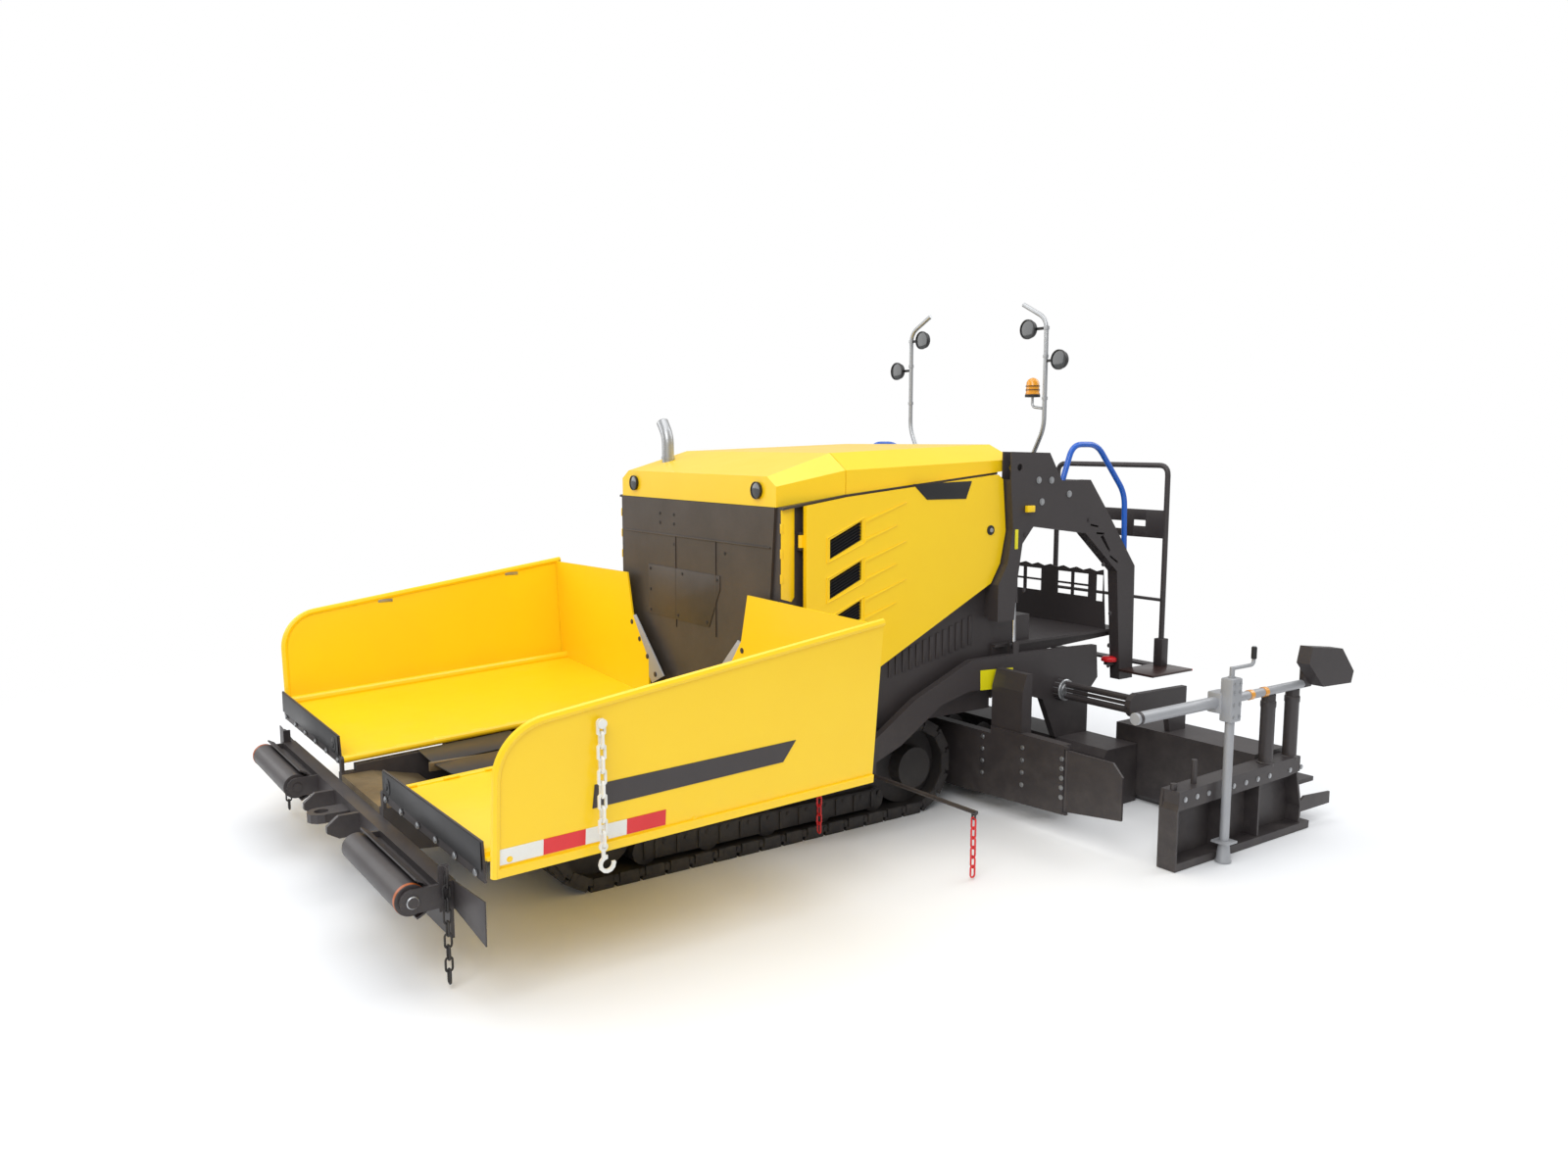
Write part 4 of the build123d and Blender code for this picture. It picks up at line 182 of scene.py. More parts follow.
studioSizes = {"lit": 0.55, "seen": 1.0, "aim": (0, 0, 0.8)}
studioLamps = {"key": {"place": (6.0, -6.5, 7.5), "size": 6.0, "power": 450}, "fill": {"place": (-6.5, -5.5, 5.0),
    "size": 7.0, "power": 260}, "rim": {"place": (3.0, 8.0, 7.0), "size": 6.0, "power": 240},
    "top": {"place": (0.0, 0.0, 9.0), "size": 8.0, "power": 340}}
stageFloor()
lightWorld(studioSizes["lit"], studioSizes["seen"])
for lampName, lamp in studioLamps.items():
    lampData = bpy.data.lights.new(lampName, "AREA")
    lampData.size = lamp["size"]
    lampData.energy = lamp["power"]
    lampObject = bpy.data.objects.new(lampName, lampData)
    lampObject.location = lamp["place"]
    aim = Vector(studioSizes["aim"]) - Vector(lamp["place"])
    lampObject.rotation_euler = aim.to_track_quat("-Z", "Y").to_euler()
    scene.collection.objects.link(lampObject)
print("stage: light set")


def addSocket(group, name, kind, way="INPUT", value=None):
    socket = group.interface.new_socket(name=name, in_out=way, socket_type=kind)
    if value is not None:
        socket.default_value = value
    return socket


surfaceInputs = {"Drift Scale": 3.0, "Drift": 0.25, "Grain Scale": 220.0, "Grain": 0.15, "Gloss Low": 0.3,
    "Gloss High": 0.5, "Dust": 0.2, "Dust Height": 0.5}
surfaceSizes = {"drift": {"Detail": 6.0, "Roughness": 0.62}, "driftRange": {"From Min": 0.35, "From Max": 0.7},
    "grain": {"Detail": 3.0}, "grainRange": {"From Min": 0.4, "From Max": 0.65},
    "dust": {"Scale": 9.0, "Detail": 8.0, "Roughness": 0.7}, "dustRange": {"From Min": 0.42, "From Max": 0.68},
    "dustColour": (0.33, 0.30, 0.26, 1)}


def makeSurfaceGroup():
    # colour drift, fine grain and settled dust for painted and bare metal
    group = bpy.data.node_groups.new("workedSurface", "ShaderNodeTree")
    addSocket(group, "Colour", "NodeSocketColor", value=(0.5, 0.5, 0.5, 1))
    addSocket(group, "Shade", "NodeSocketColor", value=(0.3, 0.3, 0.3, 1))
    for name, value in surfaceInputs.items():
        addSocket(group, name, "NodeSocketFloat", value=value)
    addSocket(group, "Colour", "NodeSocketColor", "OUTPUT")
    addSocket(group, "Roughness", "NodeSocketFloat", "OUTPUT")
    addSocket(group, "Height", "NodeSocketFloat", "OUTPUT")
    link = group.links.new
    ins = addNode(group, "NodeGroupInput").outputs
    outs = addNode(group, "NodeGroupOutput").inputs
    coord = addNode(group, "ShaderNodeTexCoord").outputs["Object"]
    drift = addNode(group, "ShaderNodeTexNoise", surfaceSizes["drift"])
    grain = addNode(group, "ShaderNodeTexNoise", surfaceSizes["grain"])
    dust = addNode(group, "ShaderNodeTexNoise", surfaceSizes["dust"])
    for noise in (drift, grain, dust):
        link(coord, noise.inputs["Vector"])
    link(ins["Drift Scale"], drift.inputs["Scale"])
    link(ins["Grain Scale"], grain.inputs["Scale"])
    driftRange = addRange(group, drift.outputs["Fac"], surfaceSizes["driftRange"])
    driftAmount = addMath(group, "MULTIPLY", driftRange.outputs["Result"], ins["Drift"])
    grainRange = addRange(group, grain.outputs["Fac"], surfaceSizes["grainRange"])
    grainAmount = addMath(group, "MULTIPLY", grainRange.outputs["Result"], ins["Grain"])
    shadeSum = addMath(group, "ADD", driftAmount, grainAmount, clamp=True)
    tone = addNode(group, "ShaderNodeMix", data_type="RGBA")
    link(shadeSum, tone.inputs["Factor"])
    link(ins["Colour"], tone.inputs["A"])
    link(ins["Shade"], tone.inputs["B"])
    # dust lies in patches and gathers low down
    split = addNode(group, "ShaderNodeSeparateXYZ")
    link(coord, split.inputs["Vector"])
    low = addRange(group, split.outputs["Z"], {"From Min": 0.0, "To Min": 1.0, "To Max": 0.0})
    link(ins["Dust Height"], low.inputs["From Max"])
    patch = addRange(group, dust.outputs["Fac"], surfaceSizes["dustRange"])
    dustMix = addMath(group, "MULTIPLY", low.outputs["Result"], patch.outputs["Result"])
    dustShare = addMath(group, "MULTIPLY", dustMix, ins["Dust"])
    dusty = addNode(group, "ShaderNodeMix", data_type="RGBA")
    dusty.inputs["B"].default_value = surfaceSizes["dustColour"]
    link(dustShare, dusty.inputs["Factor"])
    link(tone.outputs["Result"], dusty.inputs["A"])
    rough = addRange(group, drift.outputs["Fac"], {})
    link(ins["Gloss Low"], rough.inputs["To Min"])
    link(ins["Gloss High"], rough.inputs["To Max"])
    link(dusty.outputs["Result"], outs["Colour"])
    link(addMath(group, "ADD", rough.outputs["Result"], dustShare, clamp=True), outs["Roughness"])
    link(grain.outputs["Fac"], outs["Height"])
    return group


surfaceGroup = makeSurfaceGroup()
finishes, finishSlot = {}, {}


def linear(red, green, blue):
    # display colour 0..255 to the linear values that sockets hold
    def one(v):
        v = v / 255
        return v / 12.92 if v <= 0.04045 else ((v + 0.055) / 1.055) ** 2.4
    return (one(red), one(green), one(blue), 1.0)


def makeFinish(name, slot, colour, shade, metal=0.0, coat=0.0, bump=0.1, drift=0.4, grain=0.1,
               gloss=(0.3, 0.5), dust=0.1, dustHeight=0.3):
    material, tree = newMaterial(name)
    link = tree.links.new
    out = addNode(tree, "ShaderNodeOutputMaterial")
    shader = addNode(tree, "ShaderNodeBsdfPrincipled",
                     {"Metallic": metal, "Coat Weight": coat, "Coat Roughness": 0.12})
    worked = addNode(tree, "ShaderNodeGroup", node_tree=surfaceGroup, inputs={
        "Colour": linear(*colour), "Shade": linear(*shade), "Drift": drift, "Grain": grain,
        "Gloss Low": gloss[0], "Gloss High": gloss[1], "Dust": dust, "Dust Height": dustHeight})
    lift = addNode(tree, "ShaderNodeBump", {"Strength": bump, "Distance": 0.0006})
    link(worked.outputs["Colour"], shader.inputs["Base Color"])
    link(worked.outputs["Roughness"], shader.inputs["Roughness"])
    link(worked.outputs["Height"], lift.inputs["Height"])
    link(lift.outputs["Normal"], shader.inputs["Normal"])
    link(shader.outputs[0], out.inputs["Surface"])
    finishes[name] = material
    finishSlot[name] = slot


makeFinish("yellowPaint", "yellow_paint", (255, 213, 14), (251, 203, 8), coat=0.25, bump=0.05, drift=0.35, grain=0.08,
    gloss=(0.28, 0.42), dust=0.15, dustHeight=0.7)
makeFinish("charcoalPaint", "charcoal_steel", (60, 55, 56), (48, 44, 45), coat=0.08, bump=0.1, drift=0.4, grain=0.12,
    gloss=(0.4, 0.58), dust=0.12, dustHeight=0.7)
makeFinish("shieldPaint", "shield_plate", (70, 62, 56), (52, 46, 42), bump=0.12, drift=0.6, grain=0.2,
    gloss=(0.4, 0.62), dustHeight=1.4)
makeFinish("trackSteel", "track_steel", (48, 46, 47), (66, 62, 60), metal=0.25, bump=0.35, drift=0.5, grain=0.3,
    gloss=(0.45, 0.75), dust=0.15)
makeFinish("wornSteel", "bare_steel", (150, 132, 100), (88, 72, 50), metal=0.6, bump=0.3, drift=0.8, grain=0.3,
    gloss=(0.35, 0.6), dust=0.3, dustHeight=0.6)
makeFinish("silverSteel", "bright_pipe", (186, 188, 190), (150, 152, 156), metal=0.85, bump=0.08, grain=0.15,
    gloss=(0.28, 0.45))
makeFinish("chromeRod", "rod_chrome", (214, 216, 220), (200, 202, 206), metal=1.0, bump=0.01, drift=0.1, grain=0.05,
    gloss=(0.08, 0.16), dust=0.0)
makeFinish("castIron", "cast_block", (70, 69, 70), (48, 46, 46), metal=0.4, bump=0.4, drift=0.6, grain=0.4,
    gloss=(0.5, 0.75), dust=0.3, dustHeight=0.6)
makeFinish("darkChain", "dark_chain", (66, 64, 64), (40, 38, 38), metal=0.6, bump=0.2, drift=0.5, grain=0.3,
    gloss=(0.35, 0.6), dust=0.2, dustHeight=0.5)
makeFinish("redPaint", "red_chain", (226, 34, 42), (196, 20, 28), coat=0.25, bump=0.06, gloss=(0.3, 0.45),
    dustHeight=0.4)
makeFinish("whitePaint", "white_chain", (238, 238, 233), (205, 204, 196), coat=0.2, bump=0.06, dustHeight=0.6)
makeFinish("bluePaint", "blue_tube", (22, 96, 200), (14, 72, 165), coat=0.3, bump=0.05, drift=0.3, grain=0.08,
    gloss=(0.25, 0.4), dust=0.05, dustHeight=0.5)
makeFinish("blackPlastic", "lamp_black", (34, 34, 36), (24, 24, 26), bump=0.15, drift=0.3, grain=0.3,
    gloss=(0.35, 0.5), dustHeight=0.5)
makeFinish("lampGlass", "lamp_black", (62, 66, 70), (38, 41, 45), coat=0.8, bump=0.02, drift=0.5, grain=0.05,
    gloss=(0.05, 0.12), dust=0.0)
makeFinish("wornRing", "amber_lens", (186, 96, 36), (140, 66, 24), bump=0.05, drift=0.5, grain=0.2)
makeFinish("greyPaint", "bright_pipe", (166, 168, 172), (142, 144, 148), metal=0.15, coat=0.1, bump=0.06, grain=0.12,
    gloss=(0.32, 0.5))
makeFinish("stepPaint", "shield_plate", (62, 42, 38), (44, 30, 28), coat=0.25, bump=0.08, drift=0.6, grain=0.2,
    gloss=(0.22, 0.4))
makeFinish("lime", "yellow_paint", (236, 226, 20), (214, 204, 16), coat=0.2, bump=0.02, drift=0.3, grain=0.05,
    gloss=(0.3, 0.45), dust=0.05)
makeFinish("amberLens", "amber_lens", (235, 160, 24), (205, 120, 10), coat=0.6, bump=0.02, drift=0.3, grain=0.05,
    gloss=(0.1, 0.2), dust=0.0)

# which finish each material slot of the CAD nodes gets; the undercarriage is dark like the tracks
slotFinish = {"yellow_paint": "yellowPaint", "charcoal_steel": "charcoalPaint", "track_steel": "trackSteel",
    "bare_steel": "wornSteel", "dark_chain": "darkChain", "cast_block": "castIron", "shield_plate": "shieldPaint",
    "bright_pipe": "silverSteel", "red_chain": "redPaint", "blue_tube": "bluePaint", "lamp_black": "blackPlastic",
    "amber_lens": "amberLens", "white_chain": "whitePaint", "auger_iron": "castIron", "rod_chrome": "chromeRod"}
nodeFinish = {part["node"]: slotFinish[part["material_slot"]] for part in frame["record"]["subparts"]}
nodeFinish["undercarriage"] = "trackSteel"
for nodeName, nodeObject in frame["nodes"].items():
    nodeObject.data.materials.clear()
    nodeObject.data.materials.append(finishes[nodeFinish[nodeName]])
print("stage: CAD nodes finished in", len(finishes), "materials")


def circle(middle, first, second, radius, count):
    turns = [2 * math.pi * step / count for step in range(count)]
    return [middle + (first * math.cos(turn) + second * math.sin(turn)) * (radius / 1000) for turn in turns]


def rounded(points, bend):
    # a path whose corners are arcs; bend is how far from each corner the arc begins
    path = [points[0].copy()]
    for before, corner, after in zip(points, points[1:], points[2:]):
        back = before - corner
        ahead = after - corner
        cut = min(bend, back.length * 0.48, ahead.length * 0.48)
        start = corner + back.normalized() * cut
        end = corner + ahead.normalized() * cut
        for step in range(7):
            share = step / 6
            path.append(start * (1 - share) ** 2 + corner * 2 * share * (1 - share) + end * share ** 2)
    path.append(points[-1].copy())
    return path


def settle(mesh, name, body, stands, sharp):
    # smooths a finished mesh, sets it on its body and hides the CAD nodes it stands for
    mesh.shade_smooth()
    mesh.set_sharp_from_angle(angle=math.radians(sharp))
    piece = bpy.data.objects.new(name, mesh)
    scene.collection.objects.link(piece)
    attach(piece, body)
    if stands:
        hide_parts(*stands)


rearward, upward = (0, 1, 0), (0, 0, 1)


class Shape:
    # boxes, prisms, tubes and lathed forms in one mesh; parts take the first finish unless they name one
    def __init__(self, finish):
        self.names = [finish]
        self.body = bmesh.new()

    def take(self, part, finish):
        finish = finish or self.names[0]
        if finish not in self.names:
            self.names.append(finish)
        bmesh.ops.remove_doubles(part, verts=part.verts, dist=0.00001)
        bmesh.ops.recalc_face_normals(part, faces=part.faces)
        for face in part.faces:
            face.material_index = self.names.index(finish)
        held = bpy.data.meshes.new("held")
        part.to_mesh(held)
        part.free()
        self.body.from_mesh(held)
        bpy.data.meshes.remove(held)

    def prism(self, points, push, bevel=0.0, finish=None):
        part = bmesh.new()
        near = [part.verts.new(point) for point in points]
        far = [part.verts.new(point + push) for point in points]
        part.faces.new(near)
        part.faces.new(list(reversed(far)))
        for index in range(len(points)):
            after = (index + 1) % len(points)
            part.faces.new((near[index], far[index], far[after], near[after]))
        bmesh.ops.recalc_face_normals(part, faces=part.faces)
        if bevel:
            bmesh.ops.bevel(part, geom=list(part.edges), offset=bevel / 1000, segments=2, profile=0.5,
                            affect="EDGES", clamp_overlap=True)
        self.take(part, finish)

    def box(self, low, high, bevel=2.0, finish=None, side=1):
        # corners are (x, station, z); side -1 puts the box on the other side of the machine
        left, right = sorted((side * low[0], side * high[0]))
        points = [at(left, low[1], low[2]), at(right, low[1], low[2]),
                  at(right, high[1], low[2]), at(left, high[1], low[2])]
        self.prism(points, Vector((0, 0, (high[2] - low[2]) / 1000)), bevel, finish)

    def frontPlate(self, station, spots, thick, bevel=0.0, side=1):
        # a plate across the machine, thick towards its rear; spots are (x, z)
        self.prism(across(station, spots, side), Vector((0, thick / 1000, 0)), bevel)

    def sidePlate(self, side, x, spots, thick, bevel=0.0):
        # a plate along the machine, thick away from its middle; spots are (station, z)
        self.prism(along(side * x, spots), Vector((side * thick / 1000, 0, 0)), bevel)

    def rings(self, rings, finish=None):
        # skins equal rings of points one after another, with flat ends
        part = bmesh.new()
        rows = [[part.verts.new(point) for point in ring] for ring in rings]
        count = len(rings[0])
        for row, after in zip(rows, rows[1:]):
            for index in range(count):
                turn = (index + 1) % count
                part.faces.new((row[index], row[turn], after[turn], after[index]))
        part.faces.new(list(reversed(rows[0])))
        part.faces.new(rows[-1])
        self.take(part, finish)

    def lathe(self, origin, axis, steps, count=32, finish=None):
        # steps are (distance along the axis, radius) in mm
        axis = Vector(axis).normalized()
        first = axis.orthogonal().normalized()
        second = axis.cross(first)
        self.rings([circle(origin + axis * (reach / 1000), first, second, radius, count)
                    for reach, radius in steps], finish)

    def tube(self, points, radius, bend, count, finish=None):
        path = rounded(points, bend / 1000)
        first = (path[1] - path[0]).normalized().orthogonal().normalized()
        rings = []
        for index, point in enumerate(path):
            ahead = path[min(index + 1, len(path) - 1)] - path[max(index - 1, 0)]
            ahead.normalize()
            first = (first - ahead * first.dot(ahead)).normalized()
            rings.append(circle(point, first, ahead.cross(first), radius, count))
        self.rings(rings, finish)

    def add(self, side, sizes):
        # turned parts are (place, axis, steps, sides, finish), boxes (low corner, high corner, bevel, finish)
        for place, axis, steps, count, finish in sizes.get("turned", ()):
            self.lathe(onSide(side, place), axis, steps, count, finish)
        for low, high, bevel, finish in sizes.get("boxes", ()):
            self.box(low, high, bevel, finish, side)

    def place(self, name, body, stands=(), sharp=35):
        mesh = bpy.data.meshes.new(name)
        self.body.to_mesh(mesh)
        self.body.free()
        for finish in self.names:
            mesh.materials.append(finishes[finish])
        settle(mesh, name, body, stands, sharp)


def makeFieldTree(name, result, sizes, makeForm):
    # a tree that sets one form on every point and paints it; makeForm gives the form, its rotation and
    # its scale as sockets
    tree = bpy.data.node_groups.new(name, "GeometryNodeTree")
    tree.is_modifier = True
    addSocket(tree, "Points", "NodeSocketGeometry")
    sockets = [addSocket(tree, size, "NodeSocketFloat", value=value) for size, value in sizes.items()]
    sockets.append(addSocket(tree, "Finish", "NodeSocketMaterial"))
    addSocket(tree, result, "NodeSocketGeometry", "OUTPUT")
    link = tree.links.new
    ins = addNode(tree, "NodeGroupInput").outputs
    outs = addNode(tree, "NodeGroupOutput").inputs
    spread = addNode(tree, "GeometryNodeInstanceOnPoints")
    real = addNode(tree, "GeometryNodeRealizeInstances")
    paint = addNode(tree, "GeometryNodeSetMaterial")
    form, rotation, scale = makeForm(tree, ins)
    link(ins["Points"], spread.inputs["Points"])
    link(form, spread.inputs["Instance"])
    link(rotation, spread.inputs["Rotation"])
    if scale:
        link(scale, spread.inputs["Scale"])
    link(spread.outputs["Instances"], real.inputs[0])
    link(real.outputs[0], paint.inputs["Geometry"])
    link(ins["Finish"], paint.inputs["Material"])
    link(paint.outputs[0], outs[result])
    return {"tree": tree, "identifiers": {socket.name: socket.identifier for socket in sockets}}


def grown(name, body, points, marks, field, sizes, finish, stands=(), sharp=30):
    # grows a field tree on a cloud of points and keeps the result as a plain mesh; marks are the named
    # values of each point that the tree reads
    cloud = bpy.data.meshes.new(name + "Points")
    cloud.from_pydata(points, [], [])
    for mark, values in marks.items():
        if isinstance(values[0], Vector):
            attribute = cloud.attributes.new(mark, "FLOAT_VECTOR", "POINT")
            attribute.data.foreach_set("vector", [part for value in values for part in value])
        else:
            attribute = cloud.attributes.new(mark, "FLOAT", "POINT")
            attribute.data.foreach_set("value", values)
    seed = bpy.data.objects.new(name + "Seed", cloud)
    scene.collection.objects.link(seed)
    modifier = seed.modifiers.new("grow", "NODES")
    modifier.node_group = field["tree"]
    modifier[field["identifiers"]["Finish"]] = finishes[finish]
    for size, value in sizes.items():
        modifier[field["identifiers"][size]] = value
    reading = bpy.context.evaluated_depsgraph_get()
    mesh = bpy.data.meshes.new_from_object(seed.evaluated_get(reading))
    bpy.data.objects.remove(seed)
    bpy.data.meshes.remove(cloud)
    mesh.name = name
    settle(mesh, name, body, stands, sharp)


def namedValue(tree, name, kind):
    node = addNode(tree, "GeometryNodeInputNamedAttribute", {"Name": name}, data_type=kind)
    return node.outputs["Attribute"]


# bolts: one hex head and washer on every point; all but the head's radius are parts of that radius
boltSizes = {"Head Radius": 0.009, "Head Depth": 1.1, "Washer Radius": 1.45, "Washer Depth": 0.5}


def makeBolt(tree, ins):
    link = tree.links.new
    head = addNode(tree, "GeometryNodeMeshCylinder", {"Vertices": 6})
    washer = addNode(tree, "GeometryNodeMeshCylinder", {"Vertices": 16})
    both = addNode(tree, "GeometryNodeJoinGeometry")
    turn = addNode(tree, "FunctionNodeAlignRotationToVector", axis="Z")
    link(ins["Head Depth"], head.inputs["Depth"])
    link(ins["Washer Radius"], washer.inputs["Radius"])
    link(ins["Washer Depth"], washer.inputs["Depth"])
    link(head.outputs["Mesh"], both.inputs[0])
    link(washer.outputs["Mesh"], both.inputs[0])
    link(namedValue(tree, "facing", "FLOAT_VECTOR"), turn.inputs["Vector"])
    return both.outputs[0], turn.outputs["Rotation"], ins["Head Radius"]


boltTree = makeFieldTree("boltField", "Bolts", boltSizes, makeBolt)


def frontBolts(station, spots, side=1):
    # bolts that face forwards; spots are (x, z)
    return [(point, (0, -1, 0)) for point in across(station, spots, side)]


def sideBolts(side, x, spots):
    # bolts that face away from the machine's middle; spots are (station, z)
    return [(point, (side, 0, 0)) for point in along(side * x, spots)]


def boltField(name, body, rows, radius=9.0, finish="silverSteel"):
    # rows are (point, facing)
    points = [point for point, facing in rows]
    facings = [Vector(facing) for point, facing in rows]
    grown(name, body, points, {"facing": facings}, boltTree, {"Head Radius": radius / 1000}, finish)


# round-bar chains: one rounded link on every point, every other one turned a quarter
chainSizes = {"bar": 9.0, "inner": 46.0, "wide": 26.0, "long": 55.0, "pitch": 45.7, "drop": 6.7,
    "corner": 26.0 / 2.02}
chainInputs = {"Link Width": chainSizes["wide"] / 1000, "Link Length": chainSizes["long"] / 1000,
    "Corner Radius": chainSizes["corner"] / 1000, "Bar Radius": chainSizes["bar"] / 2000}


def makeLink(tree, ins):
    link = tree.links.new
    loop = addNode(tree, "GeometryNodeCurvePrimitiveQuadrilateral")
    soften = addNode(tree, "GeometryNodeFilletCurve", {"Count": 4}, mode="POLY")
    bar = addNode(tree, "GeometryNodeCurvePrimitiveCircle", {"Resolution": 8})
    solid = addNode(tree, "GeometryNodeCurveToMesh")
    stand = addNode(tree, "GeometryNodeTransform", {"Rotation": (math.pi / 2, 0, 0)})
    spin = addNode(tree, "ShaderNodeCombineXYZ")
    link(ins["Link Width"], loop.inputs["Width"])
    link(ins["Link Length"], loop.inputs["Height"])
    link(ins["Corner Radius"], soften.inputs["Radius"])
    link(ins["Bar Radius"], bar.inputs["Radius"])
    link(loop.outputs["Curve"], soften.inputs["Curve"])
    link(soften.outputs["Curve"], solid.inputs["Curve"])
    link(bar.outputs["Curve"], solid.inputs["Profile Curve"])
    link(solid.outputs["Mesh"], stand.inputs["Geometry"])
    link(namedValue(tree, "turn", "FLOAT"), spin.inputs["Z"])
    return stand.outputs[0], spin.outputs[0], None


chainTree = makeFieldTree("chainRun", "Links", chainInputs, makeLink)


def chainRun(name, body, runs, finish, stands):
    # runs are (x, station, height of the hole, links), each hung on both sides of the machine
    points, turns = [], []
    for x, station, holeZ, links in runs:
        top = holeZ - chainSizes["drop"]
        for side in (-1, 1):
            for count in range(links):
                points.append(at(side * x, station, top - chainSizes["inner"] / 2 - count * chainSizes["pitch"]))
                turns.append(math.pi / 2 * (count % 2))
    grown(name, body, points, {"turn": turns}, chainTree, {}, finish, stands, 40)


sides = (("left", 1), ("right", -1))

# hopper wings: dark band, red and white strip, bolts under the lip and on the rear wall
wingSizes = {"x": 1530.0, "low": 494.0, "lean": math.radians(5.6), "middle": (900, 300), "thick": 2.0,
    "band": ((571, 772), (1466, 804), (1408, 720), (565, 682)),
    "strip": ((213, 376, "whitePaint"), (376, 540, "redPaint"), (540, 707, "whitePaint"), (707, 872, "redPaint")),
    "stripFront": 213, "stripTop": (597, 0.035), "stripFoot": (539, 0.030), "lipBolts": (250, 620, 1000, 1380, 1760),
    "lipRise": 62, "lipBolt": 8.0, "wall": 1865.5, "wallBolts": ((1148, 1176), (1401, 841), (1240, 678), (863, 1116)),
    "wallBolt": 11.0}


def onWing(side, station, rise, out=0.0):
    # a point on the wing's outer face, out being away from the face
    lean = wingSizes["lean"]
    x = wingSizes["x"] + rise * math.sin(lean) + out * math.cos(lean)
    return at(side * x, station, wingSizes["low"] + rise * math.cos(lean) - out * math.sin(lean))


def onWingAt(side, spots):
    # points just off the wing's outer face; spots are (station, z)
    return [onWing(side, station, (z - wingSizes["low"]) / math.cos(wingSizes["lean"]), 0.2) for station, z in spots]


def stripSpot(edge, station):
    z, slope = wingSizes[edge]
    return (station, z + (station - wingSizes["stripFront"]) * slope)


for sideName, side in sides:
    body = "wing_" + sideName
    push = onWing(side, *wingSizes["middle"], wingSizes["thick"]) - onWing(side, *wingSizes["middle"])
    trim = Shape("charcoalPaint")
    trim.prism(onWingAt(side, wingSizes["band"]), push)
    for start, end, finish in wingSizes["strip"]:
        corners = [stripSpot("stripTop", start), stripSpot("stripTop", end),
                   stripSpot("stripFoot", end), stripSpot("stripFoot", start)]
        trim.prism(onWingAt(side, corners), push, finish=finish)
    trim.place("wingTrim_" + sideName, body)
    lipWay = onWing(side, 0, 0, 1000) - onWing(side, 0, 0)
    lipBolts = [(onWing(side, station, wingSizes["lipRise"], 0.4), lipWay) for station in wingSizes["lipBolts"]]
    boltField("wingLipBolts_" + sideName, body, lipBolts, wingSizes["lipBolt"], "yellowPaint")
    wallBolts = frontBolts(wingSizes["wall"], wingSizes["wallBolts"], side)
    boltField("wingWallBolts_" + sideName, body, wallBolts, wingSizes["wallBolt"])
print("stage: wings dressed")

# front boards: round boss, bolts along the lower edge and the rubber sheet
boardSizes = {"front": 163.6, "boss": (425, 164.0, 556),
    "bossSteps": ((0, 38), (5, 38), (7, 35), (7, 16), (11, 15), (12, 11)), "bolts": (380, 590, 800, 1010, 1220, 1430),
    "boltFoot": 489, "boltSlope": 0.004, "bolt": 10.0, "rubber": ((356, 512), (356, 608), (1494, 622), (1494, 514)),
    "rubberThick": -3.0}
for sideName, side in sides:
    body = "wing_" + sideName
    boss = Shape("blackPlastic")
    boss.lathe(onSide(side, boardSizes["boss"]), (0, -1, 0), boardSizes["bossSteps"])
    boss.place("boardBoss_" + sideName, body)
    spots = [(x, boardSizes["boltFoot"] + (x - boardSizes["bolts"][0]) * boardSizes["boltSlope"])
             for x in boardSizes["bolts"]]
    boltField("boardBolts_" + sideName, body, frontBolts(boardSizes["front"], spots, side), boardSizes["bolt"])
    rubber = Shape("blackPlastic")
    rubber.frontPlate(boardSizes["front"] + 0.2, boardSizes["rubber"], boardSizes["rubberThick"], 1.0, side)
    rubber.place("boardRubber_" + sideName, body)
print("stage: front boards dressed")

# push rollers: a worn band round each one, the caps of their shafts and the skirts beside them
rollerSizes = {"start": 512, "band": ((678, 54.0), (678, 59.2), (696, 59.2), (696, 54.0)), "capX": 1234,
    "cap": ((0, 24), (7, 24), (10, 21), (10, 8)), "skirtStation": 150, "skirtThick": 6,
    "skirt": ((1232, 300), (1232, 405), (1548, 425), (1548, 262))}


def onRoller(side, x, node):
    middle = middleOf(node)
    return Vector((side * x / 1000, middle[1], middle[2]))


for sideName, side in sides:
    bands = Shape("wornRing")
    roller = "push_roller_" + sideName
    bands.lathe(onRoller(side, rollerSizes["start"], roller), (side, 0, 0), rollerSizes["band"], 40)
    bands.place("rollerBands_" + sideName, roller)
skirts = Shape("charcoalPaint")
caps = Shape("silverSteel")
for side in (-1, 1):
    skirts.frontPlate(rollerSizes["skirtStation"], rollerSizes["skirt"], rollerSizes["skirtThick"], 1.5, side)
    caps.lathe(onRoller(side, rollerSizes["capX"], "push_roller_left"), (side, 0, 0), rollerSizes["cap"], 28)
skirts.place("frontSkirts", "tractor")
caps.place("rollerCaps", "tractor")

# conveyor: the two dark covers and the worn bar between them
coverSizes = {"plate": ((12, 500, 499), (285, 520, 499), (300, 1000, 523), (12, 980, 523)), "thick": 0.006,
    "bar": ((-8, 480, 470), (8, 1700, 512))}
covers = Shape("blackPlastic")
for side in (-1, 1):
    covers.prism([onSide(side, place) for place in coverSizes["plate"]], Vector((0, 0, coverSizes["thick"])), 1.0)
covers.box(*coverSizes["bar"], 1.5, "wornSteel")
covers.place("hopperCovers", "tractor")

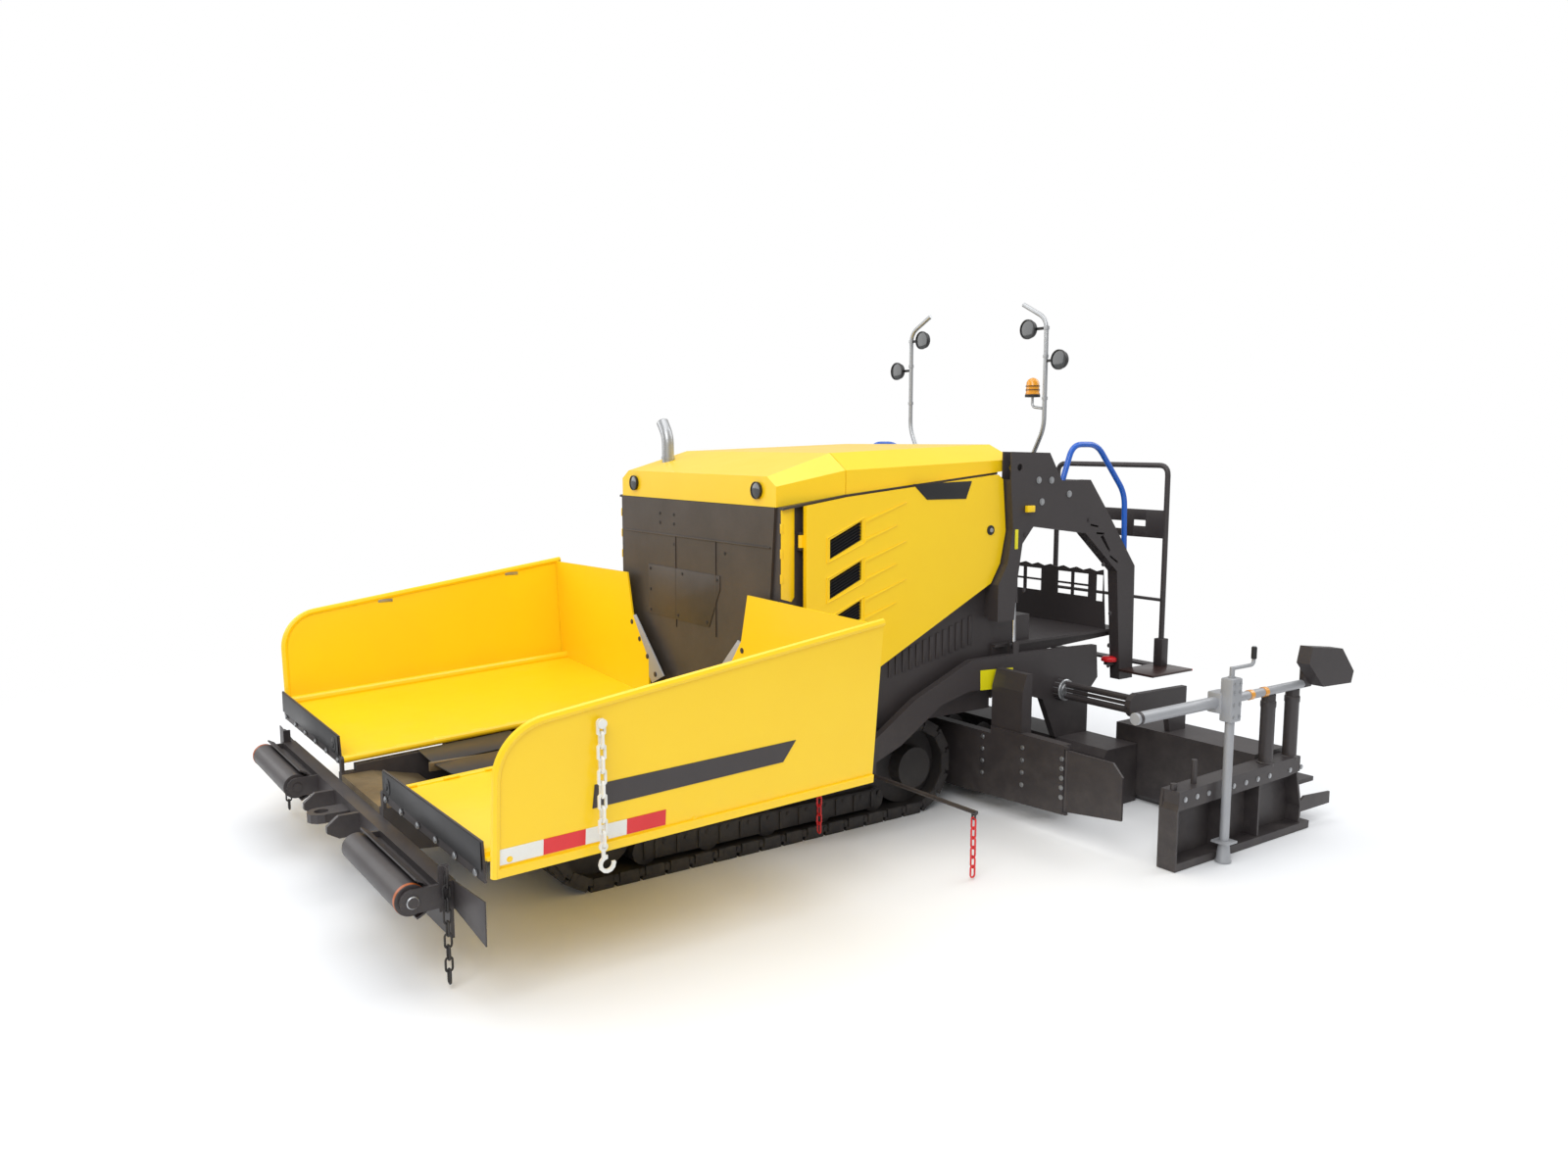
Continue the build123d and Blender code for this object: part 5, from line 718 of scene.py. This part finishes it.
# heat shield: joggled seams, the raised panel and its fasteners; seams are (left, low, right, high)
shieldSizes = {"seams": ((-735, 1493, 735, 1501), (-167, 1000, -161, 1493), (240, 1000, 246, 1493)),
    "panel": ((-466, 1321), (285, 1321), (285, 1250), (177, 1043), (-466, 1043)), "panelThick": 3.6,
    "bolts": ((-330, 1610), (-180, 1610), (-330, 1560), (-180, 1560), (-180, 1450), (330, 1440)),
    "panelBolts": ((-440, 1298), (-90, 1298), (260, 1298), (160, 1066), (-140, 1066), (-440, 1066), (-440, 1182)),
    "bolt": 6.0}
shieldFace = (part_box("heat_shield")[0][1] - frontY) * 1000
shield = Shape("shieldPaint")
for left, low, right, high in shieldSizes["seams"]:
    shield.box((left, shieldFace - 5, low), (right, shieldFace - 0.4, high), 1.2)
shield.frontPlate(shieldFace - 4, shieldSizes["panel"], shieldSizes["panelThick"], 1.4)
shield.place("shieldSeams", "tractor")
shieldBolts = frontBolts(shieldFace - 0.6, shieldSizes["bolts"])
shieldBolts += frontBolts(shieldFace - 4.6, shieldSizes["panelBolts"])
boltField("shieldBolts", "tractor", shieldBolts, shieldSizes["bolt"], "castIron")
print("stage: hopper middle dressed")


def outerFace(node):
    # how far a node reaches from the machine's middle plane, in millimetres
    low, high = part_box(node)
    return max(abs(low[0]), abs(high[0])) * 1000


# side doors: blank name plate, latch and louvre slats
doorSizes = {"plate": ((2699, 1788), (3108, 1796), (3068, 1704), (2794, 1707)), "plateThick": 2.5,
    "latch": (3253, 1532), "latchRing": ((0, 26), (4, 26), (6, 22), (6, 20)),
    "latchKnob": ((0, 12), (5, 12), (6.5, 10)), "louvres": (1437, 1242, 1047), "slats": 6, "slatPitch": 15,
    "slat": ((-20, 2178, 0), (-20, 2369, 84), (-5, 2369, 78), (-5, 2178, -6)), "slatThick": 0.0024,
    "ribs": (((2392, 176), (2660, 262)), ((2392, 84), (2600, 150))), "ribHalf": (9, 2), "ribThick": 4,
    "frame": ((2158, -16), (2158, 104), (2390, 196), (2390, 70)), "frameBar": 4}
for sideName, side in sides:
    face = outerFace("side_door_" + sideName)
    trim = Shape("blackPlastic")
    trim.sidePlate(side, face + 0.2, doorSizes["plate"], doorSizes["plateThick"], 0.8)
    trim.lathe(onSide(side, (face, *doorSizes["latch"])), (side, 0, 0), doorSizes["latchRing"], 28)
    trim.lathe(onSide(side, (face + 5, *doorSizes["latch"])), (side, 0, 0), doorSizes["latchKnob"], 24, "silverSteel")
    for lowZ in doorSizes["louvres"]:
        for slat in range(doorSizes["slats"]):
            z = lowZ + 8 + slat * doorSizes["slatPitch"]
            trim.prism([at(side * (face + out), station, z + rise) for out, station, rise in doorSizes["slat"]],
                       Vector((0, 0, doorSizes["slatThick"])))
    trim.place("doorTrim_" + sideName, "side_door_" + sideName)
print("stage: doors dressed")

# round bent tubes: grab rails, rear step with its rail, masts, lamps, beacon and exhaust
railSizes = {"x": 872, "path": ((3790, 1777), (3870, 1984), (4075, 1984), (4330, 1700), (4345, 1320)),
    "tube": (16, 70, 20)}
rails = Shape("bluePaint")
for side in (-1, 1):
    rails.tube(along(side * railSizes["x"], railSizes["path"]), *railSizes["tube"])
rails.place("bentGrabRails", "tractor", ("grab_rails",))

# tubes are (radius, bend, sides), panels of the rear step's guard (left, low, right, high, bevel)
stepSizes = {
    "boxes": (((904, 4290, 654), (1150, 4657, 668), 3, "stepPaint"),
        ((906, 4655, 655), (1150, 4659.5, 667), 1, "redPaint"), ((60, 4560, 654), (907, 4640, 668), 3, None),
        ((936, 4570, 667), (996, 4630, 830), 4, None)), "station": 4600,
    "rail": ((125, 666), (125, 1860), (966, 1860), (966, 666)), "railTube": (16, 60, 20),
    "bar": ((125, 1060), (966, 1060)), "barTube": (10, 10, 14), "guardHalf": 4,
    "guard": ((112, 1428, 541, 1595, 2), (541, 1428, 656, 1472, 1), (541, 1520, 656, 1595, 1),
        (656, 1428, 734, 1595, 1), (734, 1428, 822, 1494, 1), (734, 1530, 822, 1595, 1), (822, 1428, 980, 1595, 2))}
rear = Shape("charcoalPaint")
rear.add(1, stepSizes)
rear.tube(across(stepSizes["station"], stepSizes["rail"]), *stepSizes["railTube"])
rear.tube(across(stepSizes["station"], stepSizes["bar"]), *stepSizes["barTube"])
for left, low, right, high, bevel in stepSizes["guard"]:
    rear.box((left, stepSizes["station"] - stepSizes["guardHalf"], low),
             (right, stepSizes["station"] + stepSizes["guardHalf"], high), bevel)
rear.place("rearStepRail", "tractor", ("rear_step",))

mastSizes = {"station": 3950, "path": ((480, 1788), (480, 1880), (582, 2080), (582, 2700), (400, 2795)),
    "tube": (13, 60, 20), "turned": (((480, 3950, 1786), upward, ((0, 24), (22, 24), (26, 20), (26, 14)), 28, None),),
    "collars": ((582, 3950, 2240), (582, 3950, 2480), (582, 3950, 2640)),
    "collar": ((0, 13), (0, 17), (18, 17), (18, 13))}
poles = Shape("silverSteel")
for side in (-1, 1):
    poles.tube(across(mastSizes["station"], mastSizes["path"], side), *mastSizes["tube"])
    poles.add(side, mastSizes)
    for place in mastSizes["collars"]:
        poles.lathe(onSide(side, place), upward, mastSizes["collar"], 24)
poles.place("lampMasts", "tractor", ("masts",))

lampSizes = {"places": (((457, 3922, 2648), "high"), ((700, 3922, 2462), "high"), ((621, 1902, 1768), "low")),
    "high": ((((6, 51), (0, 52), (0, 57), (12, 57), (16, 53), (34, 49), (50, 30), (56, 24)), None),
        (((2, 8), (2.6, 34), (5.5, 50), (7, 51)), "lampGlass")),
    "low": ((((4, 38), (0, 38), (0, 42), (8, 42), (16, 40)), None),
        (((1, 8), (1.8, 26), (4, 37), (6, 38)), "lampGlass")),
    "boxes": (((457, 3944, 2640), (568.7, 3956, 2656), 1.5, None),
        ((595.3, 3944, 2454), (700, 3956, 2470), 1.5, None))}
lamps = Shape("blackPlastic")
for side in (-1, 1):
    for place, part in lampSizes["places"]:
        for steps, finish in lampSizes[part]:
            lamps.lathe(onSide(side, place), rearward, steps, 36, finish)
    lamps.add(side, lampSizes)
lamps.place("roundLamps", "tractor", ("work_lamps",))

flashSizes = {"station": 3950, "arm": ((566, 2192), (500, 2200), (488, 2215), (488, 2268)), "tube": (8, 22, 14),
    "turned": (((488, 3950, 2258), upward, ((0, 40), (0, 44), (14, 44), (16, 42)), 36, "blackPlastic"),
        ((488, 3950, 2274), upward,
            ((0, 42), (6, 42), (8, 39), (22, 39), (24, 41), (26, 39), (44, 38), (46, 40), (48, 38), (70, 36),
                (84, 28), (92, 16), (96, 4)), 36, None),
        ((488, 3950, 2297), upward, ((0, 39), (0.5, 41.5), (4.5, 41.5), (5, 39)), 36, "blackPlastic"),
        ((488, 3950, 2319), upward, ((0, 39), (0.5, 41.5), (4.5, 41.5), (5, 39)), 36, "blackPlastic"))}
flash = Shape("amberLens")
flash.tube(across(flashSizes["station"], flashSizes["arm"]), *flashSizes["tube"], "silverSteel")
flash.add(1, flashSizes)
flash.place("flashBeacon", "tractor", ("beacon",))

pipeSizes = {"station": 2110, "path": ((-580, 1872), (-580, 2030), (-640, 2110)), "tube": (34, 60, 32),
    "turned": (((-640.6, 2110, 2110.8), (-60, 0, 80), ((-2, 34), (0, 34), (0, 30), (-40, 29)), 32, "castIron"),
        ((-580, 2110, 1900), upward, ((0, 34), (0, 38), (16, 38), (16, 34)), 32, None))}
pipe = Shape("silverSteel")
pipe.tube(across(pipeSizes["station"], pipeSizes["path"]), *pipeSizes["tube"])
pipe.add(1, pipeSizes)
pipe.place("exhaustPipe", "tractor", ("exhaust_stack",))
print("stage: rails, masts and lamps set")

# chains: dark ones beside the rollers and red ones at the tractor's front corners; (x, station, hole z, links)
chainRuns = {"dark": ((1254, 118, 447, 9),), "red": ((1582, 2455, 298, 6), (775, 2180, 290, 5))}
chainRun("frontChains", "tractor", chainRuns["dark"], "darkChain", ("front_chains",))
chainRun("markerChains", "tractor", chainRuns["red"], "redPaint", ("marker_chains",))
print("stage: chains hung")

# tracks: pin heads, shoe bolts and link plates round each loop, and a guard along its lower run
trackSizes = {"outer": 711.0, "front": 1010.0, "rear": 2858.0, "middleZ": 264.1, "pitch": 132.0, "stations": 29,
    "turns": 12, "pinReach": 222.0, "boltReach": 264.1, "linkReach": 221, "pin": 13.0, "bolt": 8.0,
    "boltX": (505, 555, 617, 667), "boltShifts": (-26, 26)}
plateInputs = {"Plate Length": 0.094, "Plate Thickness": 0.014, "Plate Height": 0.044, "Waist Radius": 0.024,
    "Waist Depth": 0.016}


def trackPlaces():
    # (station, up, back, between): each shoe and each half pitch between shoes, with its outward direction
    places = []
    for step in range(trackSizes["stations"]):
        station = trackSizes["front"] + step * trackSizes["pitch"] / 2
        places += [(station, 1.0, 0.0, step % 2), (station, -1.0, 0.0, step % 2)]
    for step in range(1, trackSizes["turns"]):
        turn = math.pi * step / trackSizes["turns"]
        places.append((trackSizes["rear"], math.cos(turn), math.sin(turn), step % 2))
        places.append((trackSizes["front"], math.cos(turn), -math.sin(turn), step % 2))
    return places


def onLoop(x, place, reach, shift=0):
    # a point on the loop, reach out from its middle line and shift along it
    station, up, back, between = place
    return at(x, station + back * reach + up * shift, trackSizes["middleZ"] + up * reach - back * shift)


def makePlate(tree, ins):
    # one link plate with a round waist
    link = tree.links.new
    extent = addNode(tree, "ShaderNodeCombineXYZ")
    plate = addNode(tree, "GeometryNodeMeshCube")
    waist = addNode(tree, "GeometryNodeMeshCylinder", {"Vertices": 14})
    turned = addNode(tree, "GeometryNodeTransform", {"Rotation": (0, math.pi / 2, 0)})
    both = addNode(tree, "GeometryNodeJoinGeometry")
    link(ins["Plate Thickness"], extent.inputs["X"])
    link(ins["Plate Length"], extent.inputs["Y"])
    link(ins["Plate Height"], extent.inputs["Z"])
    link(extent.outputs[0], plate.inputs["Size"])
    link(ins["Waist Radius"], waist.inputs["Radius"])
    link(ins["Waist Depth"], waist.inputs["Depth"])
    link(waist.outputs["Mesh"], turned.inputs["Geometry"])
    link(plate.outputs["Mesh"], both.inputs[0])
    link(turned.outputs[0], both.inputs[0])
    return both.outputs[0], namedValue(tree, "facing", "FLOAT_VECTOR"), None


for sideName, side in sides:
    pins, heads = [], []
    for place in trackPlaces():
        station, up, back, between = place
        if between:
            pins.append((onLoop(side * (trackSizes["outer"] + 0.4), place, trackSizes["pinReach"]), (side, 0, 0)))
        elif up > -0.99:    # the shoes on the ground hide their bolts
            heads += [(onLoop(side * x, place, trackSizes["boltReach"], shift), (0, back, up))
                      for x in trackSizes["boltX"] for shift in trackSizes["boltShifts"]]
    boltField("trackPins_" + sideName, "tractor", pins, trackSizes["pin"], "trackSteel")
    boltField("shoeBolts_" + sideName, "tractor", heads, trackSizes["bolt"], "trackSteel")
plateTree = makeFieldTree("linkPlates", "Plates", plateInputs, makePlate)
for sideName, side in sides:
    shoes = [place for place in trackPlaces() if not place[3]]
    angles = [Vector((math.atan2(-back, up), 0, 0)) for station, up, back, between in shoes]
    points = [onLoop(side * (trackSizes["outer"] + 3), place, trackSizes["linkReach"]) for place in shoes]
    grown("linkPlates_" + sideName, "tractor", points, {"facing": angles}, plateTree, {}, "trackSteel")

guardSizes = {"plate": ((672, 1240, 78), (680, 2628, 176)), "lip": ((646, 1240, 170), (680, 2628, 178)),
    "rib": ((679, -7, 84), (688, 7, 168)), "ribs": (1300, 2600, 118), "bolt": (680.4, 50, 150), "head": 10.0}
guards = Shape("trackSteel")
guardBolts = []
for side in (-1, 1):
    guards.box(*guardSizes["plate"], side=side)
    guards.box(*guardSizes["lip"], side=side)
    low, high = guardSizes["rib"]
    x, after, z = guardSizes["bolt"]
    for station in range(*guardSizes["ribs"]):
        guards.box((low[0], station + low[1], low[2]), (high[0], station + high[1], high[2]), side=side)
        guardBolts += sideBolts(side, x, [(station + after, z)])
guards.place("trackGuards", "tractor")
boltField("guardBolts", "tractor", guardBolts, guardSizes["head"], "trackSteel")
print("stage: tracks dressed")

# wings again: tabs on the rim, hinges and rods of the floor seam, bolted strips on the rear wall's cut edge
rimSizes = {"tabs": (772, 1556), "half": 42, "front": (200, 532), "rear": (1888, 762), "drop": 30, "inset": 8,
    "reach": 5, "tabZ": (-4, 14)}
seamSizes = {"slope": math.tan(math.radians(2.9)), "front": (178, 500), "x": 343, "rise": 11, "hinges": 9,
    "first": 240, "pitch": 190, "hinge": ((0, 6), (1, 7), (70, 7), (71, 6)), "rodX": 330,
    "rods": ((300, 760), (1120, 1560)), "rodRadii": (10, 15)}
stripSizes = {"station": 1857, "edge": ((664, 985), (530, 1030), (214, 726), (349, 665)), "thick": 8.5,
    "start": (596, 1008), "end": (282, 696), "shares": (0.08, 0.36, 0.64, 0.92), "bolt": 10.0}


def onSeam(side, x, station, rise=0):
    front, z = seamSizes["front"]
    return at(side * x, station, z + (station - front) * seamSizes["slope"] + rise)


for sideName, side in sides:
    rim = Shape("silverSteel")
    (front, frontHeight), (back, backHeight) = rimSizes["front"], rimSizes["rear"]
    for station in rimSizes["tabs"]:
        height = frontHeight + (backHeight - frontHeight) * (station - front) / (back - front)
        top = onWing(side, station, height - rimSizes["drop"], -rimSizes["inset"])
        x, z = top.x * 1000, top.z * 1000
        rim.box((x - rimSizes["reach"], station - rimSizes["half"], z + rimSizes["tabZ"][0]),
                (x + rimSizes["reach"], station + rimSizes["half"], z + rimSizes["tabZ"][1]))
    rim.place("rimTabs_" + sideName, "wing_" + sideName)
    seam = Shape("yellowPaint")
    for count in range(seamSizes["hinges"]):
        seam.lathe(onSeam(side, seamSizes["x"], seamSizes["first"] + count * seamSizes["pitch"], seamSizes["rise"]),
                   (0, 1, seamSizes["slope"]), seamSizes["hinge"], 16)
    inner, outer = seamSizes["rodRadii"]
    for start, end in seamSizes["rods"]:
        seam.lathe(onSeam(side, seamSizes["rodX"], start), (0, 1, seamSizes["slope"]),
                   ((0, inner), (0, outer), (end - start, outer), (end - start, inner)), 20, "charcoalPaint")
    seam.place("seamHinges_" + sideName, "wing_" + sideName)
for sideName, side in sides:
    strip = Shape("greyPaint")
    strip.frontPlate(stripSizes["station"], stripSizes["edge"], stripSizes["thick"], 1.5, side)
    strip.place("wallStrip_" + sideName, "wing_" + sideName)
    (startX, startZ), (endX, endZ) = stripSizes["start"], stripSizes["end"]
    spots = [(startX + (endX - startX) * share, startZ + (endZ - startZ) * share) for share in stripSizes["shares"]]
    boltField("stripBolts_" + sideName, "wing_" + sideName, frontBolts(stripSizes["station"] - 0.5, spots, side),
              stripSizes["bolt"], "charcoalPaint")

# yellow corner panels between the shield and the doors, each with three hinge blocks
cornerSizes = {"x": 800.3, "outline": ((1927, 1258), (1985, 1240), (2003, 1262), (2003, 1698), (1927, 1686)),
    "thick": 5.5, "hinges": (1330, 1450, 1570), "hingeX": 807.5, "hinge": (1922, 1940, 46)}
corners = Shape("yellowPaint")
for side in (-1, 1):
    corners.sidePlate(side, cornerSizes["x"], cornerSizes["outline"], cornerSizes["thick"], 1.5)
    front, back, tall = cornerSizes["hinge"]
    for z in cornerSizes["hinges"]:
        corners.box((cornerSizes["x"], front, z), (cornerSizes["hingeX"], back, z + tall), side=side)
corners.place("cornerPanels", "tractor")

# doors again: pressed ribs that run back from the louvres, and a raised frame round each louvre
for sideName, side in sides:
    face = outerFace("side_door_" + sideName)
    ribs = Shape("yellowPaint")
    wide, narrow = doorSizes["ribHalf"]
    for lowZ in doorSizes["louvres"]:
        for (start, startRise), (end, endRise) in doorSizes["ribs"]:
            startZ, endZ = lowZ + startRise, lowZ + endRise
            outline = [(start, startZ + wide), (end, endZ + narrow), (end, endZ - narrow), (start, startZ - wide)]
            ribs.sidePlate(side, face + 0.2, outline, doorSizes["ribThick"], 1.2)
        bars = along(side * (face + 0.5), [(station, lowZ + rise) for station, rise in doorSizes["frame"]])
        for start, end in zip(bars, bars[1:] + bars[:1]):
            ribs.tube([start, end], doorSizes["frameBar"], 5, 10)
    ribs.place("doorRibs_" + sideName, "side_door_" + sideName)

# flanks: the slatted grille below each door and the lime label on each tow arm; low and high are (z, rise)
grilleSizes = {"slats": 13, "x": (800, 806), "start": 2600, "length": 560, "wide": 24, "low": (800, 110),
    "high": (900, 170)}
labelSizes = {"x": 892.4, "outline": ((3168, 786), (3415, 774), (3418, 664), (3171, 678)), "thick": 1.4}
grilles = Shape("charcoalPaint")
labels = Shape("lime")
for side in (-1, 1):
    inner, outer = grilleSizes["x"]
    for count in range(grilleSizes["slats"]):
        share = count / (grilleSizes["slats"] - 1)
        station = grilleSizes["start"] + share * grilleSizes["length"]
        lowZ, highZ = [z + share * rise for z, rise in (grilleSizes["low"], grilleSizes["high"])]
        grilles.box((inner, station, lowZ), (outer, station + grilleSizes["wide"], highZ), 1.5, side=side)
    labels.sidePlate(side, labelSizes["x"], labelSizes["outline"], labelSizes["thick"])
grilles.place("sideGrilles", "tractor")
labels.place("armLabels", "screed")
print("stage: flanks dressed")

# gantries: pin heads, bolts, a block, a level glass and the cap beside the step
gantrySizes = {"x": 906.5, "pins": ((3565, 1793), (3666, 1791), (3593, 1675), (3812, 1712)), "pin": 13.0,
    "bolts": ((3985, 1560), (4120, 1300), (4195, 1010), (4195, 820), (4195, 700), (3470, 1500), (3470, 1200)),
    "bolt": 9.0,
    "boxes": (((906, 3462, 1622), (930, 3520, 1658), 4, None), ((906, 3392, 1426), (907.4, 3416, 1532), 0.3, "lime")),
    "turned": (((850, 4270, 712), upward, ((0, 40), (0, 46), (16, 46), (24, 38), (28, 20)), 32, "redPaint"),
        ((850, 4270, 690), upward, ((0, 30), (24, 30), (26, 24)), 24, "charcoalPaint"))}
pins, bolts = [], []
fittings = Shape("yellowPaint")
for side in (-1, 1):
    pins += sideBolts(side, gantrySizes["x"], gantrySizes["pins"])
    bolts += sideBolts(side, gantrySizes["x"], gantrySizes["bolts"])
    fittings.add(side, gantrySizes)
boltField("gantryPins", "tractor", pins, gantrySizes["pin"])
boltField("gantryBolts", "tractor", bolts, gantrySizes["bolt"], "charcoalPaint")
fittings.place("gantryFittings", "tractor")

# moldboards: bolt columns as tall as the flaps; columns are (x, bolts)
moldboardSizes = {"face": 3229.6, "columns": ((1150, 4), (1418, 5), (860, 4)), "foot": 70, "ends": 120, "bolt": 9.0}
for sideName, side in sides:
    flapLow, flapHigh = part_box("flap_" + sideName)
    bottom, top = flapLow[2] * 1000, flapHigh[2] * 1000
    spots = [(x, bottom + moldboardSizes["foot"] + (top - bottom - moldboardSizes["ends"]) * step / (count - 1))
             for x, count in moldboardSizes["columns"] for step in range(count)]
    boltField("moldboardBolts_" + sideName, "tractor", frontBolts(moldboardSizes["face"], spots, side),
              moldboardSizes["bolt"])

# tow arms: a bright hub disc each and the head of the tow pin
hubSizes = {"disc": (892, 3804, 608), "discSteps": ((0, 62), (42, 62), (46, 58), (46, 40), (54, 38)), "pinX": 892.5,
    "pin": (2390, 430), "pinHead": 26.0}
hubs = Shape("silverSteel")
pinHeads = []
for side in (-1, 1):
    hubs.lathe(onSide(side, hubSizes["disc"]), (side, 0, 0), hubSizes["discSteps"], 40)
    pinHeads += sideBolts(side, hubSizes["pinX"], [hubSizes["pin"]])
hubs.place("armHubs", "screed")
boltField("towPinHeads", "screed", pinHeads, hubSizes["pinHead"])

# sensor arms: bars, clamp, jack with crank and control box bracket; then the posts, buttons and end plate bolts
armSizes = {
    "turned": (
        ((2050, 2973, 775), rearward, ((0, 22), (0, 26), (2, 28), (667, 28), (667, 22), (1327, 22), (1327, 18)), 32,
            None),
        ((2050, 2990, 775), rearward, ((0, 28), (0, 31), (16, 31), (16, 28)), 32, "charcoalPaint"),
        ((2110, 3600, 3), upward, ((0, 34), (0, 38), (8, 38), (14, 34), (88, 26), (97, 26)), 32, None),
        ((2110, 3600, 95), upward, ((0, 20), (0, 22), (600, 22), (600, 20)), 32, None),
        ((2110, 3600, 899), upward, ((0, 18), (6, 18), (8, 12), (50, 12), (52, 10)), 24, None),
        ((2110, 3770, 971), upward, ((0, 10), (2, 13), (56, 13), (60, 9)), 24, "blackPlastic"),
        ((2050, 3950, 775), rearward, ((0, 22), (0, 25), (28, 25), (28, 22)), 32, "amberLens"),
        ((2050, 3830, 775), rearward, ((0, 22), (0, 25), (28, 25), (28, 22)), 32, "amberLens")),
    "boxes": (((2012, 3555, 725), (2090, 3645, 825), 7, None), ((2076, 3560, 690), (2144, 3640, 900), 9, None),
        ((2066, 3556, 96), (2154, 3644, 108), 3, None), ((2038, 4290, 760), (2072, 4350, 860), 3, "charcoalPaint")),
    "crank": ((3600, 943), (3770, 943), (3770, 1032)), "crankX": 2110, "crankTube": (9, 24, 16), "clampX": 2144.4,
    "clampStations": (3578, 3622), "clampZ": (715, 775, 835, 875), "clampBolt": 7.0}
postSizes = {"x": 2030, "stations": (4040, 4250), "z": 384,
    "steps": ((0, 40), (6, 42), (20, 42), (24, 35.2), (300, 35.2), (304, 38), (330, 38), (334, 35)),
    "buttonX": 2132.6, "button": ((0, 13), (5, 13), (7, 10)),
    "buttons": ((4330, 900, "redPaint"), (4390, 905, "lime"), (4450, 905, "silverSteel"), (4510, 900, "silverSteel"),
        (4390, 855, "silverSteel"), (4450, 855, "silverSteel")), "endX": 2070.4, "endZ": 344,
    "endBolts": (3340, 3430, 3520, 3720, 3820, 3920, 4020, 4200, 4300), "bolt": 9.0}
for sideName, side in sides:
    body = "extension_" + sideName
    arm = Shape("greyPaint")
    arm.add(side, armSizes)
    arm.tube(along(side * armSizes["crankX"], armSizes["crank"]), *armSizes["crankTube"])
    arm.place("sensorArm_" + sideName, body, ("sensor_arm_" + sideName,))
    spots = [(station, z) for station in armSizes["clampStations"] for z in armSizes["clampZ"]]
    boltField("clampBolts_" + sideName, body, sideBolts(side, armSizes["clampX"], spots), armSizes["clampBolt"])
    posts = Shape("charcoalPaint")
    for station in postSizes["stations"]:
        posts.lathe(at(side * postSizes["x"], station, postSizes["z"]), upward, postSizes["steps"], 36)
    for station, z, finish in postSizes["buttons"]:
        posts.lathe(at(side * postSizes["buttonX"], station, z), (side, 0, 0), postSizes["button"], 20, finish)
    posts.place("extensionPosts_" + sideName, body)
    spots = [(station, postSizes["endZ"]) for station in postSizes["endBolts"]]
    boltField("endPlateBolts_" + sideName, body, sideBolts(side, postSizes["endX"], spots), postSizes["bolt"])
print("stage: arms dressed")

# augers: shaft and a true screw flight each
augerSizes = {"station": 3480.0, "z": 250.0, "shaft": 38.0, "capRadius": 30, "flight": 149.5, "start": 42.0,
    "end": 1229.0, "pitch": 240.0, "thick": 10.0, "edge": 0.7, "root": 35.0, "steps": 116, "first": 14, "last": 24}
for sideName, side in sides:
    screw = Shape("castIron")
    start, end, shaft = augerSizes["start"], augerSizes["end"], augerSizes["shaft"]
    cap, long = augerSizes["capRadius"], end - start
    shaftSteps = ((0, cap), (0, shaft), (long, shaft), (long, cap))
    screw.lathe(at(side * start, augerSizes["station"], augerSizes["z"]), (side, 0, 0), shaftSteps, 28)
    first, last = start + augerSizes["first"], end - augerSizes["last"]
    thick = Vector((augerSizes["thick"] / 2000, 0, 0))
    rim = Vector((augerSizes["thick"] / 2000 * augerSizes["edge"], 0, 0))
    rings = []
    for step in range(augerSizes["steps"] + 1):
        x = first + (last - first) * step / augerSizes["steps"]
        angle = 2 * math.pi * (x - first) / augerSizes["pitch"]
        spoke = Vector((0, math.cos(angle), math.sin(angle)))
        middle = at(side * x, augerSizes["station"], augerSizes["z"])
        inner = middle + spoke * (augerSizes["root"] / 1000)
        outer = middle + spoke * (augerSizes["flight"] / 1000)
        rings.append([inner + thick, outer + rim, outer - rim, inner - thick])
    screw.rings(rings)
    screw.place("augerScrew_" + sideName, "auger_" + sideName, ("auger_" + sideName,), 40)
print("stage: augers turned")

low, high = cadBounds
print("stage: done")
